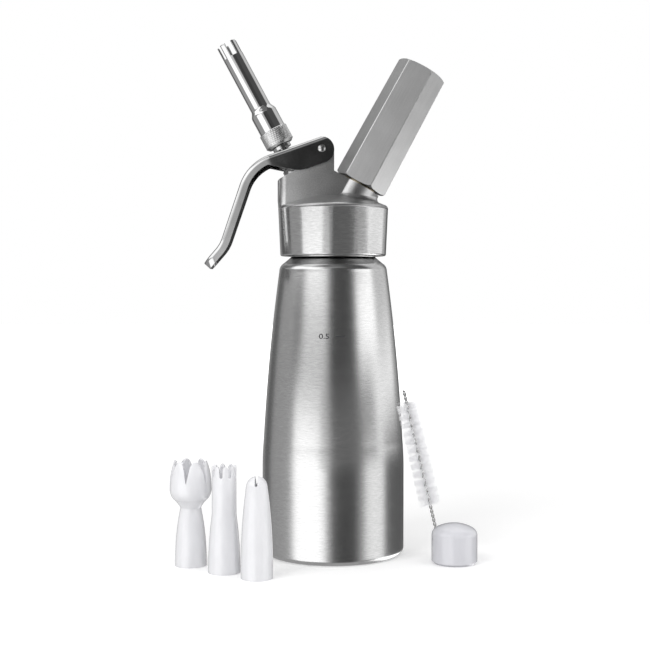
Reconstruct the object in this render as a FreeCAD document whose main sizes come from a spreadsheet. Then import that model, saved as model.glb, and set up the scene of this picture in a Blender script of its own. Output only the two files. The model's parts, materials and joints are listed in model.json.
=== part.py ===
import FreeCAD, Part
import math
import os
import Sketcher

# Cream dispenser: a steel bottle with a screw-on valve head, a lever, a nozzle and a
# charger holder, with three tips, a port cap and a brush beside it.
# Millimetres. The origin is the middle of the bottle's foot, +Z is up, the nozzle and
# the lever reach to -X and the charger holder to +X.

doc = FreeCAD.newDocument("CreamDispenser")
sheet = doc.addObject("Spreadsheet::Sheet", "Sizes")
parts = []


class Dim:
    """A number together with the expression on the sheet that gives it."""

    def __init__(self, value, text):
        self.value = value
        self.text = text

    def __add__(self, other):
        other = dim(other)
        return Dim(self.value + other.value, "(%s + %s)" % (self.text, other.text))

    def __radd__(self, other):
        return dim(other) + self

    def __sub__(self, other):
        other = dim(other)
        return Dim(self.value - other.value, "(%s - %s)" % (self.text, other.text))

    def __rsub__(self, other):
        return dim(other) - self

    def __mul__(self, other):
        other = dim(other)
        return Dim(self.value * other.value, "%s * %s" % (self.text, other.text))

    def __rmul__(self, other):
        return dim(other) * self

    def __truediv__(self, other):
        other = dim(other)
        return Dim(self.value / other.value, "%s / (%s)" % (self.text, other.text))

    def __neg__(self):
        return Dim(-self.value, "(0 - %s)" % self.text)


def dim(number):
    return number if isinstance(number, Dim) else Dim(float(number), "%.6g" % number)


def sine(angle):
    return Dim(math.sin(math.radians(angle.value)), "sin(%s * 1 deg)" % angle.text)


def cosine(angle):
    return Dim(math.cos(math.radians(angle.value)), "cos(%s * 1 deg)" % angle.text)


def tangent(angle):
    return sine(angle) / cosine(angle)


def arcsine(share):
    return Dim(math.degrees(math.asin(share.value)), "(asin(%s) / 1 deg)" % share.text)


def size(alias, number):
    """A driving dimension: one row of the sheet."""
    size.row += 1
    sheet.set("A%d" % size.row, alias)
    sheet.set("B%d" % size.row, "%.6g" % number)
    sheet.setAlias("B%d" % size.row, alias)
    return Dim(float(number), "Sizes." + alias)


size.row = 0


def bind(item, prop, amount):
    item.setExpression(prop, dim(amount).text)


def new_body(label):
    """A body for one sub-part; its label is the node's name."""
    body = doc.addObject("PartDesign::Body", label)
    body.Label = label
    parts.append(body)
    return body


def stand(item, x, y, z, turn=None, axis=(0.0, 1.0, 0.0)):
    """Sets an object's place, turned about an axis through its own origin."""
    angle = dim(0 if turn is None else turn)
    spin = FreeCAD.Rotation(FreeCAD.Vector(*axis), angle.value)
    where = FreeCAD.Vector(dim(x).value, dim(y).value, dim(z).value)
    item.Placement = FreeCAD.Placement(where, spin)
    bind(item, "Placement.Base.x", x)
    bind(item, "Placement.Base.y", y)
    bind(item, "Placement.Base.z", z)
    if turn is not None:
        item.setExpression("Placement.Rotation.Angle", "%s * 1 deg" % angle.text)


def origin_plane(body, role):
    return next(f for f in body.Origin.OriginFeatures if f.Role == role)


def arc_centre(start, end, radius, turn):
    """The centre of the shorter arc from start to end; turn 1 bends left and -1 right."""
    across = end - start
    side = FreeCAD.Vector(-across.y, across.x, 0).normalize() * turn
    depth = math.sqrt(max(radius * radius - across.Length ** 2 / 4, 0.0))
    return (start + end) * 0.5 + side * depth


def draw(body, plane, corners, lift=None):
    """A closed outline on an origin plane, with every corner bound to the sheet.

    A corner is (across, up), reached by a straight side, or (across, up, radius, turn),
    reached by an arc. The first corner's own side closes the outline.
    """
    sketch = body.newObject("Sketcher::SketchObject", body.Label + "_outline")
    sketch.AttachmentSupport = [(origin_plane(body, plane), "")]
    sketch.MapMode = "FlatFace"
    if lift is not None:
        raised = FreeCAD.Vector(0, 0, dim(lift).value)
        sketch.AttachmentOffset = FreeCAD.Placement(raised, FreeCAD.Rotation())
        bind(sketch, "AttachmentOffset.Base.z", lift)
    places = [FreeCAD.Vector(dim(c[0]).value, dim(c[1]).value, 0) for c in corners]
    count = len(corners)
    begins = []
    ends = []
    radii = []
    for index in range(count):
        start = places[index - 1]
        end = places[index]
        corner = corners[index]
        if len(corner) == 2:
            sketch.addGeometry(Part.LineSegment(start, end), False)
            begins.append(1)
            ends.append(2)
            continue
        radius, turn = dim(corner[2]), corner[3]
        centre = arc_centre(start, end, radius.value, turn)
        first, last = (start, end) if turn > 0 else (end, start)
        angles = [math.atan2(p.y - centre.y, p.x - centre.x) for p in (first, last)]
        if angles[1] < angles[0]:
            angles[1] += 2 * math.pi
        circle = Part.Circle(centre, FreeCAD.Vector(0, 0, 1), radius.value)
        sketch.addGeometry(Part.ArcOfCircle(circle, angles[0], angles[1]), False)
        begins.append(1 if turn > 0 else 2)
        ends.append(2 if turn > 0 else 1)
        radii.append((index, radius))
    for index in range(count):
        after = (index + 1) % count
        join = Sketcher.Constraint("Coincident", index, ends[index], after, begins[after])
        sketch.addConstraint(join)
        for kind, amount in (("DistanceX", corners[index][0]), ("DistanceY", corners[index][1])):
            amount = dim(amount)
            rule = Sketcher.Constraint(kind, -1, 1, index, ends[index], amount.value)
            number = sketch.addConstraint(rule)
            sketch.setExpression("Constraints[%d]" % number, amount.text)
    for index, radius in radii:
        number = sketch.addConstraint(Sketcher.Constraint("Radius", index, radius.value))
        sketch.setExpression("Constraints[%d]" % number, radius.text)
    return sketch


def turn_solid(body, corners, kind="PartDesign::Revolution"):
    """Turns an outline in the XZ plane about the body's own Z axis."""
    outline = draw(body, "XZ_Plane", corners)
    turned = body.newObject(kind, body.Label + "_turned")
    turned.Profile = outline
    turned.ReferenceAxis = (outline, ["V_Axis"])
    turned.Angle = 360
    body.Tip = turned
    return turned


def turn_away(body, corners):
    return turn_solid(body, corners, "PartDesign::Groove")


def pad(body, plane, corners, length, lift=None, both=True):
    padded = body.newObject("PartDesign::Pad", body.Label + "_pad")
    padded.Profile = draw(body, plane, corners, lift)
    padded.SideType = "Symmetric" if both else "One side"
    bind(padded, "Length", length)
    body.Tip = padded
    return padded


def cut(body, plane, corners, length, lift=None):
    """Cuts an outline by a length, half of it to each side of the plane."""
    pocket = body.newObject("PartDesign::Pocket", body.Label + "_cut")
    pocket.Profile = draw(body, plane, corners, lift)
    pocket.SideType = "Symmetric"
    bind(pocket, "Length", length)
    body.Tip = pocket
    return pocket


def repeat_round(body, feature, count):
    """Repeats a feature evenly round the body's own Z axis."""
    ring = body.newObject("PartDesign::PolarPattern", body.Label + "_ring")
    ring.Originals = [feature]
    ring.Axis = (origin_plane(body, "Z_Axis"), [""])
    ring.Angle = 360
    bind(ring, "Occurrences", count)
    body.Tip = ring
    return ring


def drill(body, radius, length, x, z, tilt, y=0, axis=(0.0, 1.0, 0.0)):
    """A round cut from (x, y, z) along the body's Z axis turned about axis."""
    bore = body.newObject("PartDesign::SubtractiveCylinder", body.Label + "_bore")
    bind(bore, "Radius", radius)
    bind(bore, "Height", length)
    stand(bore, x, y, z, tilt, axis)
    body.Tip = bore
    return bore


def edges_where(shape, test):
    return ["Edge%d" % (i + 1) for i, edge in enumerate(shape.Edges) if test(edge)]


def round_off(body, radius, test, kind="PartDesign::Fillet"):
    """Rounds or bevels the edges of the body's tip that pass the test."""
    doc.recompute()
    base = body.Tip
    eased = body.newObject(kind, body.Label + "_eased")
    eased.Base = (base, edges_where(base.Shape, test))
    bind(eased, "Radius" if kind.endswith("Fillet") else "Size", radius)
    body.Tip = eased
    return eased


def dome(reach, rise):
    """The radius of a dome that rises to the axis over a reach."""
    return (reach * reach + rise * rise) / (rise * 2)


def is_round(face, radius):
    return isinstance(face.Surface, Part.Cylinder) and abs(face.Surface.Radius - radius.value) < 0.01


def middle(edge):
    return edge.valueAt((edge.FirstParameter + edge.LastParameter) / 2)


# ---- fits ----
running_fit = size("running_fit", 0.06)       # radial room of a shaft in its bore
thread_room = size("thread_room", 1.2)        # radial room that the thread ridges fill
gap = size("free_gap", 0.3)                   # room between pieces that pass each other
seat_gap = size("seat_gap", 0.05)             # room at a soft seat
margin = size("cut_margin", 1.0)              # how far a cut starts outside the solid

# ---- bottle ----
bottle_radius = size("bottle_radius", 39.2)
bottle_wall = size("bottle_wall", 1.0)
foot_corner = size("foot_corner", 3.3)
foot_ring = size("foot_ring_width", 4.0)
foot_lift = size("foot_lift", 1.6)
floor_thickness = size("bottle_floor", 2.4)
straight_height = size("bottle_straight_height", 47.0)
bend_height = size("bottle_bend_height", 15.5)
bend_inset = size("bottle_bend_inset", 0.65)
bend_arc = size("bottle_bend_arc", 185.0)
shoulder_height = size("shoulder_height", 156.2)
taper_arc = size("bottle_taper_arc", 1150.0)
shoulder_arc = size("shoulder_arc", 4.9)
shoulder_drop = size("shoulder_drop", 2.35)
shoulder_rise = size("shoulder_rise", 4.1)
shoulder_step = size("shoulder_step", 4.1)
neck_rise = size("neck_rise", 3.4)
neck_radius = size("neck_radius", 23.3)
neck_wall = size("neck_wall", 1.6)
neck_length = size("neck_length", 16.5)
shoulder_radius = neck_radius + shoulder_step + shoulder_drop
neck_bore = neck_radius - neck_wall
neck_foot = shoulder_height + shoulder_rise + neck_rise
lip_height = neck_foot + neck_length


def make_bottle():
    inner = bottle_radius - bottle_wall
    inner_foot = foot_corner - bottle_wall
    bed = foot_lift + floor_thickness
    bend_z = straight_height + bend_height
    step = bottle_radius - foot_corner
    waist = shoulder_radius - shoulder_drop
    body = new_body("bottle")
    turn_solid(body, [
        (0, foot_lift),
        (step - foot_ring - foot_lift, foot_lift),
        (step - foot_ring, 0),
        (step, 0),
        (bottle_radius, foot_corner, foot_corner, 1),
        (bottle_radius, straight_height),
        (bottle_radius - bend_inset, bend_z, bend_arc, 1),
        (shoulder_radius, shoulder_height, taper_arc, 1),
        (waist, shoulder_height + shoulder_rise, shoulder_arc, 1),
        (neck_radius, neck_foot),
        (neck_radius, lip_height),
        (neck_bore, lip_height),
        (neck_bore, neck_foot - bottle_wall),
        (waist - bottle_wall, shoulder_height + shoulder_rise - bottle_wall),
        (shoulder_radius - bottle_wall, shoulder_height, shoulder_arc, -1),
        (inner - bend_inset, bend_z, taper_arc, -1),
        (inner, straight_height, bend_arc, -1),
        (inner, bed + inner_foot),
        (inner - inner_foot, bed, inner_foot, -1),
        (0, bed),
    ])
    return body


# ---- head ----
collar_lift = size("collar_lift", 0.7)
collar_wall = size("collar_wall", 4.7)
collar_flare = size("collar_flare", 1.1)
collar_foot_round = size("collar_foot_round", 1.0)
collar_top_round = size("collar_top_round", 1.8)
collar_top_arc = size("collar_top_arc", 2.25)
dome_lift = size("dome_lift", 7.7)
dome_rise = size("dome_rise", 5.9)
gasket_thickness = size("gasket_thickness", 2.0)
chamber_radius = size("chamber_radius", 18.7)
chamber_depth = size("chamber_depth", 4.0)
head_roof = size("head_roof", 4.4)
slab_overhang = size("slab_overhang", 0.35)
slab_sink = size("slab_sink", 0.15)
slab_lead = size("slab_lead", 4.4)
slab_half = size("slab_half_width", 10.6)
slab_edge = size("slab_edge_round", 4.2)
thread_bore = neck_radius + thread_room
collar_foot_radius = thread_bore + collar_wall
collar_top_radius = collar_foot_radius + collar_flare
collar_bottom = neck_foot + collar_lift
gasket_seat = lip_height + gasket_thickness
ceiling = gasket_seat + chamber_depth
collar_top = ceiling + head_roof
dome_height = collar_top + dome_lift
slab_reach = collar_top_radius + slab_overhang
slab_corner = arcsine((slab_half - slab_edge) / (slab_reach - slab_edge))

valve_tilt = size("valve_tilt", 28.3)
valve_face_x = size("valve_face_x", -21.0)
valve_face_z = dome_height + size("valve_face_rise", 12.5)
charger_tilt = size("charger_tilt", 28.6)
port_x = size("port_x", 14.3)
port_z = dome_height + size("port_rise", 4.9)
port_radius = size("port_boss_radius", 12.2)
port_fillet = size("port_boss_fillet", 2.4)
port_depth = size("port_boss_depth", 11.0)
bore_reach = size("bore_reach", 16.0)

pivot_x = size("pivot_x", -6.3)
pivot_z = valve_face_z + size("pivot_rise", 11.7)
pin_radius = size("pin_radius", 2.0)
pin_stand = size("pin_stand", 0.6)
pin_dome = size("pin_dome_rise", 0.7)
tower_right = size("tower_right", 6.8)
tower_left = size("tower_left", 3.8)
tower_foot = size("tower_foot_left", 6.2)
tower_corner = size("tower_corner_arc", 6.5)
tower_top = size("tower_top_angle", 75.0)
tower_drop = size("tower_corner_drop", 1.5)


def valve_point(along, across=0):
    """X and Z of a point on the valve's axis, with across counted towards +X."""
    x = valve_face_x - sine(valve_tilt) * along + cosine(valve_tilt) * across
    z = valve_face_z + cosine(valve_tilt) * along + sine(valve_tilt) * across
    return x, z


def port_point(along, across=0):
    """X and Z of a point on the charger's axis, with across counted towards +X."""
    x = port_x + sine(charger_tilt) * along + cosine(charger_tilt) * across
    z = port_z + cosine(charger_tilt) * along - sine(charger_tilt) * across
    return x, z


# ---- lever, about its pivot with the web along X ----
lever_slope = size("lever_slope", 19.2)
web_rise = size("web_rise", 6.4)
lever_wall = size("lever_wall", 1.5)
lever_play = size("lever_play", 0.4)
web_overhang = size("web_overhang", 2.4)
web_end = size("web_end", 1.5)
grip_bend_arc = size("grip_bend_arc", 26.0)
grip_bend = size("grip_bend_angle", 51.9)
grip_length = size("grip_length", 30.5)
flick_arc = size("grip_flick_arc", 18.0)
flick = size("grip_flick_angle", 22.0)
grip_end = size("grip_end_length", 10.4)
grip_depth = size("grip_depth", 4.9)
grip_half = size("grip_half_width", 9.2)
grip_tip = size("grip_tip_radius", 7.0)
grip_tip_share = size("grip_tip_share", 0.4)
cheek_depth = size("cheek_depth", 7.7)
cheek_length = size("cheek_length", 11.0)
cheek_arc = size("cheek_arc", 15.0)
cheek_turn = size("cheek_arc_angle", 30.0)
cheek_end = size("cheek_end_depth", 2.4)
cheek_end_arc = size("cheek_end_arc", 7.0)
cheek_join = size("cheek_join_angle", 6.0)
lever_shoulder = size("lever_edge_round", 2.4)
slot_room = size("stem_slot_room", 0.55)
slot_shift = size("stem_slot_shift", 0.6)
slot_lead = size("stem_slot_lead", 0.5)
lever_half = slab_half + lever_play + lever_wall
web_length = (slab_reach + pivot_x) / cosine(lever_slope) + web_overhang


def web_crossing(rise):
    """Where the valve's axis meets a level of the lever, along the axis and along the web."""
    across = valve_face_x - pivot_x
    down = pivot_z - valve_face_z
    lean = valve_tilt - lever_slope
    along = (rise + across * sine(lever_slope) + down * cosine(lever_slope)) / cosine(lean)
    web = across * cosine(lever_slope) - down * sine(lever_slope) - along * sine(lean)
    return along, web


# ---- valve, along its own axis from the face of the head ----
stem_radius = size("stem_radius", 3.2)
stem_wall = size("stem_wall", 1.2)
stem_hole = size("stem_side_hole_radius", 1.2)
stem_hole_count = size("stem_side_hole_count", 4)
stem_blind = size("stem_blind_step", 0.6)
stem_bore = stem_radius - stem_wall
gland_bore_radius = size("gland_bore_radius", 5.0)
gland_depth = size("gland_depth", 8.6)
gland_flange = gland_bore_radius + size("gland_flange_step", 1.2)
gland_flat = size("gland_flat_depth", 0.9)
gland_height = size("gland_height", 3.0)
ring_section = size("stem_ring_section", 0.86)
ring_bed = size("stem_ring_bed", 2.2)
throat_room = size("throat_room", 0.45)
seat_depth = size("valve_seat_depth", 22.0)
disc_radius = size("valve_disc_radius", 5.4)
seat_pocket = disc_radius + size("valve_pocket_room", 1.2)
disc_height = size("valve_disc_height", 1.4)
seat_ring_height = size("valve_seat_ring_height", 1.0)
collar_disc = size("press_collar_height", 2.0)
collar_radius = size("press_collar_radius", 5.6)
collar_crown = size("press_collar_crown", 4.2)
collar_bevel = size("press_collar_bevel", 0.8)
press_room = size("press_collar_room", 0.15)
under_web = web_crossing(web_rise - lever_wall)[0]
collar_reach = under_web - collar_crown * tangent(valve_tilt - lever_slope) - press_room
collar_level = collar_reach - collar_disc
spring_wire = size("spring_wire", 0.7)
spring_radius = stem_radius + size("spring_room", 1.2)
spring_turns = size("spring_turns", 3.5)
web_space = size("web_space", 3.8)
adapter_collar = size("adapter_collar_height", 2.2)
adapter_thread = stem_radius + size("adapter_wall", 1.4)
adapter_collar_radius = adapter_thread + size("adapter_collar_step", 0.6)
adapter_relief = size("adapter_relief_length", 0.6)
adapter_level = collar_reach + web_space
adapter_top = adapter_level + size("adapter_length", 7.0)

# ---- nozzle, on the same axis ----
nut_height = size("nut_height", 9.5)
nut_bevel = size("nut_bevel", 1.3)
nozzle_socket = size("nozzle_socket_depth", 3.0)
bell_radius = size("bell_radius", 7.35)
nut_level = adapter_level + adapter_collar + seat_gap * 2
nut_radius = bell_radius + size("nut_wall", 0.75)
nut_bore = adapter_thread + size("nut_thread_room", 0.5)
bell_length = size("bell_length", 13.0)
bell_shoulder = size("bell_shoulder_length", 4.2)
tube_radius = size("tube_radius", 5.75)
tube_wall = size("tube_wall", 0.8)
tube_length = size("tube_length", 39.7)
slot_count = size("nozzle_slot_count", 5)
slot_width = size("nozzle_slot_width", 3.8)
slot_depth = size("nozzle_slot_depth", 7.8)
slot_turn = size("nozzle_slot_turn", 21.0)
washer_height = size("nozzle_washer_height", 0.7)

# ---- charger port and holder, along their own axis from the face of the port ----
stud_radius = size("stud_radius", 9.2)
stud_height = size("stud_height", 9.5)
stud_shank = size("stud_shank_radius", 7.6)
stud_shank_depth = size("stud_shank_depth", 7.0)
stud_bowl = size("stud_bowl_radius", 5.4)
stud_bowl_depth = size("stud_bowl_depth", 8.0)
pin_seal_height = size("pin_seal_height", 1.6)
piercer_radius = size("piercer_radius", 1.9)
piercer_rise = size("piercer_rise", 4.6)
piercer_bore = size("piercer_bore", 0.5)
piercer_rim = size("piercer_rim", 0.2)
piercer_point = size("piercer_point_length", 3.0)
gas_bore = size("gas_bore", 1.2)
gas_pocket = size("gas_pocket_radius", 4.5)
gas_pocket_depth = size("gas_pocket_depth", 15.6)
gas_valve_height = size("gas_valve_height", 1.4)
gas_valve_bore = size("gas_valve_bore", 0.6)
holder_gap = size("holder_gap", 1.0)
holder_length = size("holder_length", 71.7)
holder_corner = size("holder_corner_radius", 15.2)
holder_turn = size("holder_turn", -8.0)
holder_taper = size("holder_taper_angle", 0.7)
holder_bore = size("holder_bore", 10.4)
holder_roof = size("holder_roof", 5.2)
holder_crown = size("holder_crown_radius", 11.4)
holder_top_round = size("holder_top_round", 3.0)
holder_top_arc = size("holder_top_arc", 3.75)
holder_foot_bevel = size("holder_foot_bevel", 1.6)
holder_foot_step = size("holder_foot_step", 2.6)
holder_foot_arc = size("holder_foot_arc", 2.7)
holder_mouth = size("holder_mouth_bevel", 0.8)
liner_wall = size("liner_wall", 0.9)
liner_room = size("liner_room", 0.1)
liner_gap = size("liner_gap", 1.5)


def make_head():
    """The cast head: collar, shallow dome, flat-sided slab with its tower, round port."""
    rim = collar_top_radius - collar_top_round
    body = new_body("head_casting")
    # slab: the slanted valve face on the left, the tower, the port face on the right
    base = collar_top - collar_top_round
    left = valve_face_x - slab_reach * 0.5
    left_z = valve_face_z - (valve_face_x - left) * tangent(valve_tilt)
    tower_x = pivot_x - tower_foot
    tower_z = valve_face_z + (tower_x - valve_face_x) * tangent(valve_tilt)
    right_x = pivot_x + tower_right
    right_z = port_z + (port_x - right_x) * tangent(charger_tilt)
    end_x, end_z = port_point(0, port_radius * 0.3)
    low_x, low_z = port_point(-port_depth * 0.8, port_radius * 0.3)
    pad(body, "XZ_Plane", [
        (left, base),
        (low_x, base),
        (low_x, low_z),
        (end_x, end_z),
        (right_x, right_z),
        (right_x, pivot_z - tower_drop),
        (pivot_x + tower_left * cosine(tower_top), pivot_z + tower_left * sine(tower_top),
         tower_corner, 1),
        (pivot_x - tower_left, pivot_z, tower_left, 1),
        (tower_x, tower_z),
        (left, left_z),
    ], slab_half * 2)
    # the slab's left end is turned off round: it leaves the collar's flare without a step
    far = slab_reach * 2
    low = base - gap
    turn_away(body, [
        (collar_top_radius - slab_sink, low),
        (far, low),
        (far, pivot_z),
        (slab_reach, pivot_z),
        (slab_reach, collar_top + slab_lead),
    ])
    # its upright corners are rounded
    corner_x = -(slab_reach - slab_edge) * cosine(slab_corner)
    for side in (1, -1):
        cut(body, "XY_Plane", [
            (-slab_reach * cosine(slab_corner), slab_reach * sine(slab_corner) * side),
            (corner_x, slab_half * side, slab_edge, -side),
            (corner_x, slab_reach * side),
            (-far, slab_reach * side),
            (-far, slab_reach * sine(slab_corner) * side),
        ], pivot_z - low, (pivot_z + low) * 0.5)
    # collar and dome, turned over the slab's foot
    turn_solid(body, [
        (thread_bore, collar_bottom),
        (collar_foot_radius - collar_foot_round, collar_bottom),
        (collar_foot_radius, collar_bottom + collar_foot_round, collar_foot_round, 1),
        (collar_top_radius, collar_top - collar_top_round * 0.5),
        (rim, dome_height - dome_rise, collar_top_arc, 1),
        (0, dome_height, dome(rim, dome_rise), 1),
        (0, ceiling),
        (chamber_radius, ceiling),
        (chamber_radius, gasket_seat),
        (thread_bore, gasket_seat),
    ])
    # round boss of the charger port
    boss = body.newObject("PartDesign::AdditiveCylinder", "head_port_boss")
    bind(boss, "Radius", port_radius)
    bind(boss, "Height", port_depth)
    boss_x, boss_z = port_point(-port_depth)
    stand(boss, boss_x, 0, boss_z, charger_tilt)
    body.Tip = boss
    doc.recompute()
    tilt = math.radians(charger_tilt.value)
    port_axis = FreeCAD.Vector(math.sin(tilt), 0, math.cos(tilt))
    port_middle = FreeCAD.Vector(port_x.value, 0, port_z.value)

    def boss_foot(edge):
        faces = boss.Shape.ancestorsOfType(edge, Part.Face)
        on_boss = any(is_round(face, port_radius) for face in faces)
        depth = (port_middle - middle(edge)).dot(port_axis)
        return on_boss and depth > margin.value

    round_off(body, port_fillet, boss_foot)
    # bores along the valve's axis
    deep = seat_depth + bore_reach
    step_depth = gland_depth + ring_bed
    drill(body, gland_bore_radius, step_depth, *valve_point(-step_depth), -valve_tilt)
    throat = stem_radius + throat_room
    throat_depth = seat_depth + margin
    drill(body, throat, throat_depth, *valve_point(-throat_depth), -valve_tilt)
    drill(body, seat_pocket, deep - seat_depth, *valve_point(-deep), -valve_tilt)
    # bores along the charger's axis
    shank = stud_shank + seat_gap
    drill(body, shank, stud_shank_depth, *port_point(-stud_shank_depth), charger_tilt)
    drill(body, gas_bore, gas_pocket_depth, *port_point(-gas_pocket_depth), charger_tilt)
    gas_end = gas_pocket_depth + bore_reach
    drill(body, gas_pocket, bore_reach, *port_point(-gas_end), charger_tilt)
    # cross hole of the lever pin
    drill(body, pin_radius + seat_gap, slab_half * 4, pivot_x, pivot_z, dim(-90),
          y=-slab_half * 2, axis=(1.0, 0.0, 0.0))
    return body


def ring(label, inner, outer, low, high, bevel=None):
    """A turned ring on the body's own Z axis, with its top and bottom outer edges bevelled."""
    body = new_body(label)
    if bevel is None:
        turn_solid(body, [(inner, low), (outer, low), (outer, high), (inner, high)])
    else:
        turn_solid(body, [
            (inner, low),
            (outer - bevel, low),
            (outer, low + bevel),
            (outer, high - bevel),
            (outer - bevel, high),
            (inner, high),
        ])
    return body


def on_valve(body):
    stand(body, valve_face_x, 0, valve_face_z, -valve_tilt)
    return body


def on_port(body):
    stand(body, port_x, 0, port_z, charger_tilt)
    return body


def make_head_gasket():
    inner = neck_bore - gasket_thickness
    outer = thread_bore - gap
    low = lip_height
    body = new_body("head_gasket")
    turn_solid(body, [
        (inner, low),
        (outer - gap, low),
        (outer, low + gap),
        (outer, low + gasket_thickness),
        (inner, low + gasket_thickness),
    ])
    return body


def make_gland():
    """The gland nut: a flange on a threaded shank, with two flats for the key."""
    bore = stem_radius + running_fit
    shank = gland_bore_radius - seat_gap
    body = new_body("valve_gland")
    turn_solid(body, [
        (bore, -gland_depth),
        (shank, -gland_depth),
        (shank, 0),
        (gland_flange, 0),
        (gland_flange, gland_height - gap * 2),
        (gland_flange - gap * 2, gland_height),
        (bore, gland_height),
    ])
    for side in (1, -1):
        flat = (gland_flange - gland_flat) * side
        edge = (gland_flange + margin) * side
        cut(body, "YZ_Plane", [
            (flat, gap * 2),
            (edge, gap * 2),
            (edge, gland_height + margin),
            (flat, gland_height + margin),
        ], gland_flange * 4)
    return on_valve(body)


def make_stem_ring():
    body = new_body("stem_o_ring")
    middle_radius = stem_radius + running_fit + ring_section
    level = -(gland_depth + ring_bed * 0.5)
    torus = body.newObject("PartDesign::AdditiveTorus", "stem_o_ring_torus")
    bind(torus, "Radius1", middle_radius)
    bind(torus, "Radius2", ring_section)
    stand(torus, 0, 0, level)
    body.Tip = torus
    return on_valve(body)


def make_stem():
    """The hollow piston: a disc at the inner end, side holes above it, a thread on top."""
    foot = seat_depth + seat_ring_height + seat_gap
    closed = seat_depth - stem_blind
    body = new_body("valve_stem")
    turn_solid(body, [
        (0, -(foot + disc_height)),
        (disc_radius - gap, -(foot + disc_height)),
        (disc_radius, -(foot + disc_height - gap)),
        (disc_radius, -foot),
        (stem_radius, -foot),
        (stem_radius, adapter_top - gap),
        (stem_radius - gap, adapter_top),
        (stem_bore, adapter_top),
        (stem_bore, -closed),
        (0, -closed),
    ])
    hole = body.newObject("PartDesign::SubtractiveCylinder", "valve_stem_side_hole")
    bind(hole, "Radius", stem_hole)
    bind(hole, "Height", stem_radius * 3)
    stand(hole, 0, 0, -(closed - stem_hole - seat_gap * 2), dim(90))
    body.Tip = hole
    repeat_round(body, hole, stem_hole_count)
    return on_valve(body)


def make_valve_seat():
    foot = seat_depth + seat_ring_height
    inner = stem_radius + seat_gap
    outer = disc_radius - seat_gap
    return on_valve(ring("valve_seat_gasket", inner, outer, -foot, -(seat_depth + seat_gap)))


def make_spring():
    """The return spring, wound round the stem between the gland and the press collar."""
    height = collar_level - gland_height - spring_wire - seat_gap * 2
    helix = doc.addObject("Part::Helix", "valve_spring_path")
    bind(helix, "Radius", spring_radius)
    bind(helix, "Height", height)
    bind(helix, "Pitch", height / spring_turns)
    helix.SegmentLength = 0.5     # turns in each face of the coil
    wire = doc.addObject("Part::Circle", "valve_spring_section")
    bind(wire, "Radius", spring_wire * 0.5)
    stand(wire, spring_radius, 0, 0, dim(90), (1.0, 0.0, 0.0))
    coil = doc.addObject("Part::Sweep", "valve_spring")
    coil.Label = "valve_spring"
    coil.Sections = [wire]
    coil.Spine = (helix, [])
    coil.Solid = True
    coil.Frenet = True
    x, z = valve_point(gland_height + seat_gap + spring_wire * 0.5)
    stand(coil, x, 0, z, -valve_tilt)
    parts.append(coil)
    return coil


def make_press_collar():
    """The collar under the lever's web, with a crowned top."""
    body = new_body("press_collar")
    turn_solid(body, [
        (stem_radius + seat_gap, collar_level),
        (collar_radius - gap, collar_level),
        (collar_radius, collar_level + gap),
        (collar_radius, collar_reach - collar_bevel),
        (collar_crown, collar_reach),
        (stem_radius + seat_gap, collar_reach),
    ])
    return on_valve(body)


def make_adapter():
    """The threaded adapter on top of the stem, with a key collar under the thread."""
    body = new_body("stem_adapter")
    inner = stem_radius + seat_gap
    shelf = adapter_level + adapter_collar
    turn_solid(body, [
        (inner, adapter_level),
        (adapter_collar_radius - gap, adapter_level),
        (adapter_collar_radius, adapter_level + gap),
        (adapter_collar_radius, shelf - gap),
        (adapter_thread - gap, shelf),
        (adapter_thread - gap, shelf + adapter_relief),
        (adapter_thread, shelf + adapter_relief + gap),
        (adapter_thread, adapter_top - gap),
        (adapter_thread - gap, adapter_top),
        (inner, adapter_top),
    ])
    return on_valve(body)


def make_nozzle_washer():
    low = adapter_top + seat_gap
    outer = nut_bore - gap
    return on_valve(ring("nozzle_washer", stem_bore + gap, outer, low, low + washer_height))


def make_nut():
    """The knurled nut: bevelled foot, threaded bore, a lip, and a socket for the nozzle."""
    top = nut_level + nut_height
    lip_low = adapter_top + seat_gap * 2 + washer_height
    socket = bell_radius + seat_gap
    body = new_body("knurled_nut")
    turn_solid(body, [
        (nut_bore, nut_level),
        (nut_radius - nut_bevel, nut_level),
        (nut_radius, nut_level + nut_bevel),
        (nut_radius, top - gap),
        (nut_radius - gap, top),
        (socket, top),
        (socket, top - nozzle_socket),
        (tube_radius - tube_wall * 2, top - nozzle_socket),
        (tube_radius - tube_wall * 2, lip_low),
        (nut_bore, lip_low),
    ])
    return on_valve(body)


def make_nozzle():
    """The nozzle: a drawn bell that narrows to a long tube with a slotted mouth."""
    low = nut_level + nut_height - nozzle_socket
    neck = nut_level + nut_height + bell_length - nozzle_socket
    tube = neck + bell_shoulder
    nozzle_top = tube + tube_length
    halfway = (bell_radius + tube_radius) * 0.5
    bend = bell_shoulder * 1.5
    body = new_body("nozzle")
    turn_solid(body, [
        (bell_radius - tube_wall, low),
        (bell_radius, low),
        (bell_radius, neck),
        (halfway, neck + bell_shoulder * 0.5, bend, 1),
        (tube_radius, tube, bend, -1),
        (tube_radius, nozzle_top - gap),
        (tube_radius - gap, nozzle_top),
        (tube_radius - tube_wall, nozzle_top),
        (tube_radius - tube_wall, tube),
        (halfway - tube_wall, neck + bell_shoulder * 0.5, bend, 1),
        (bell_radius - tube_wall, neck, bend, -1),
    ])
    slot = body.newObject("PartDesign::SubtractiveBox", "nozzle_slot")
    bind(slot, "Length", slot_width)
    bind(slot, "Width", tube_radius * 2)
    bind(slot, "Height", slot_depth * 2)
    x = -cosine(slot_turn) * slot_width * 0.5 - sine(slot_turn) * -tube_radius * 2
    y = -sine(slot_turn) * slot_width * 0.5 + cosine(slot_turn) * -tube_radius * 2
    stand(slot, x, y, nozzle_top - slot_depth, slot_turn, (0.0, 0.0, 1.0))
    body.Tip = slot
    repeat_round(body, slot, slot_count)
    return on_valve(body)


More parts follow.
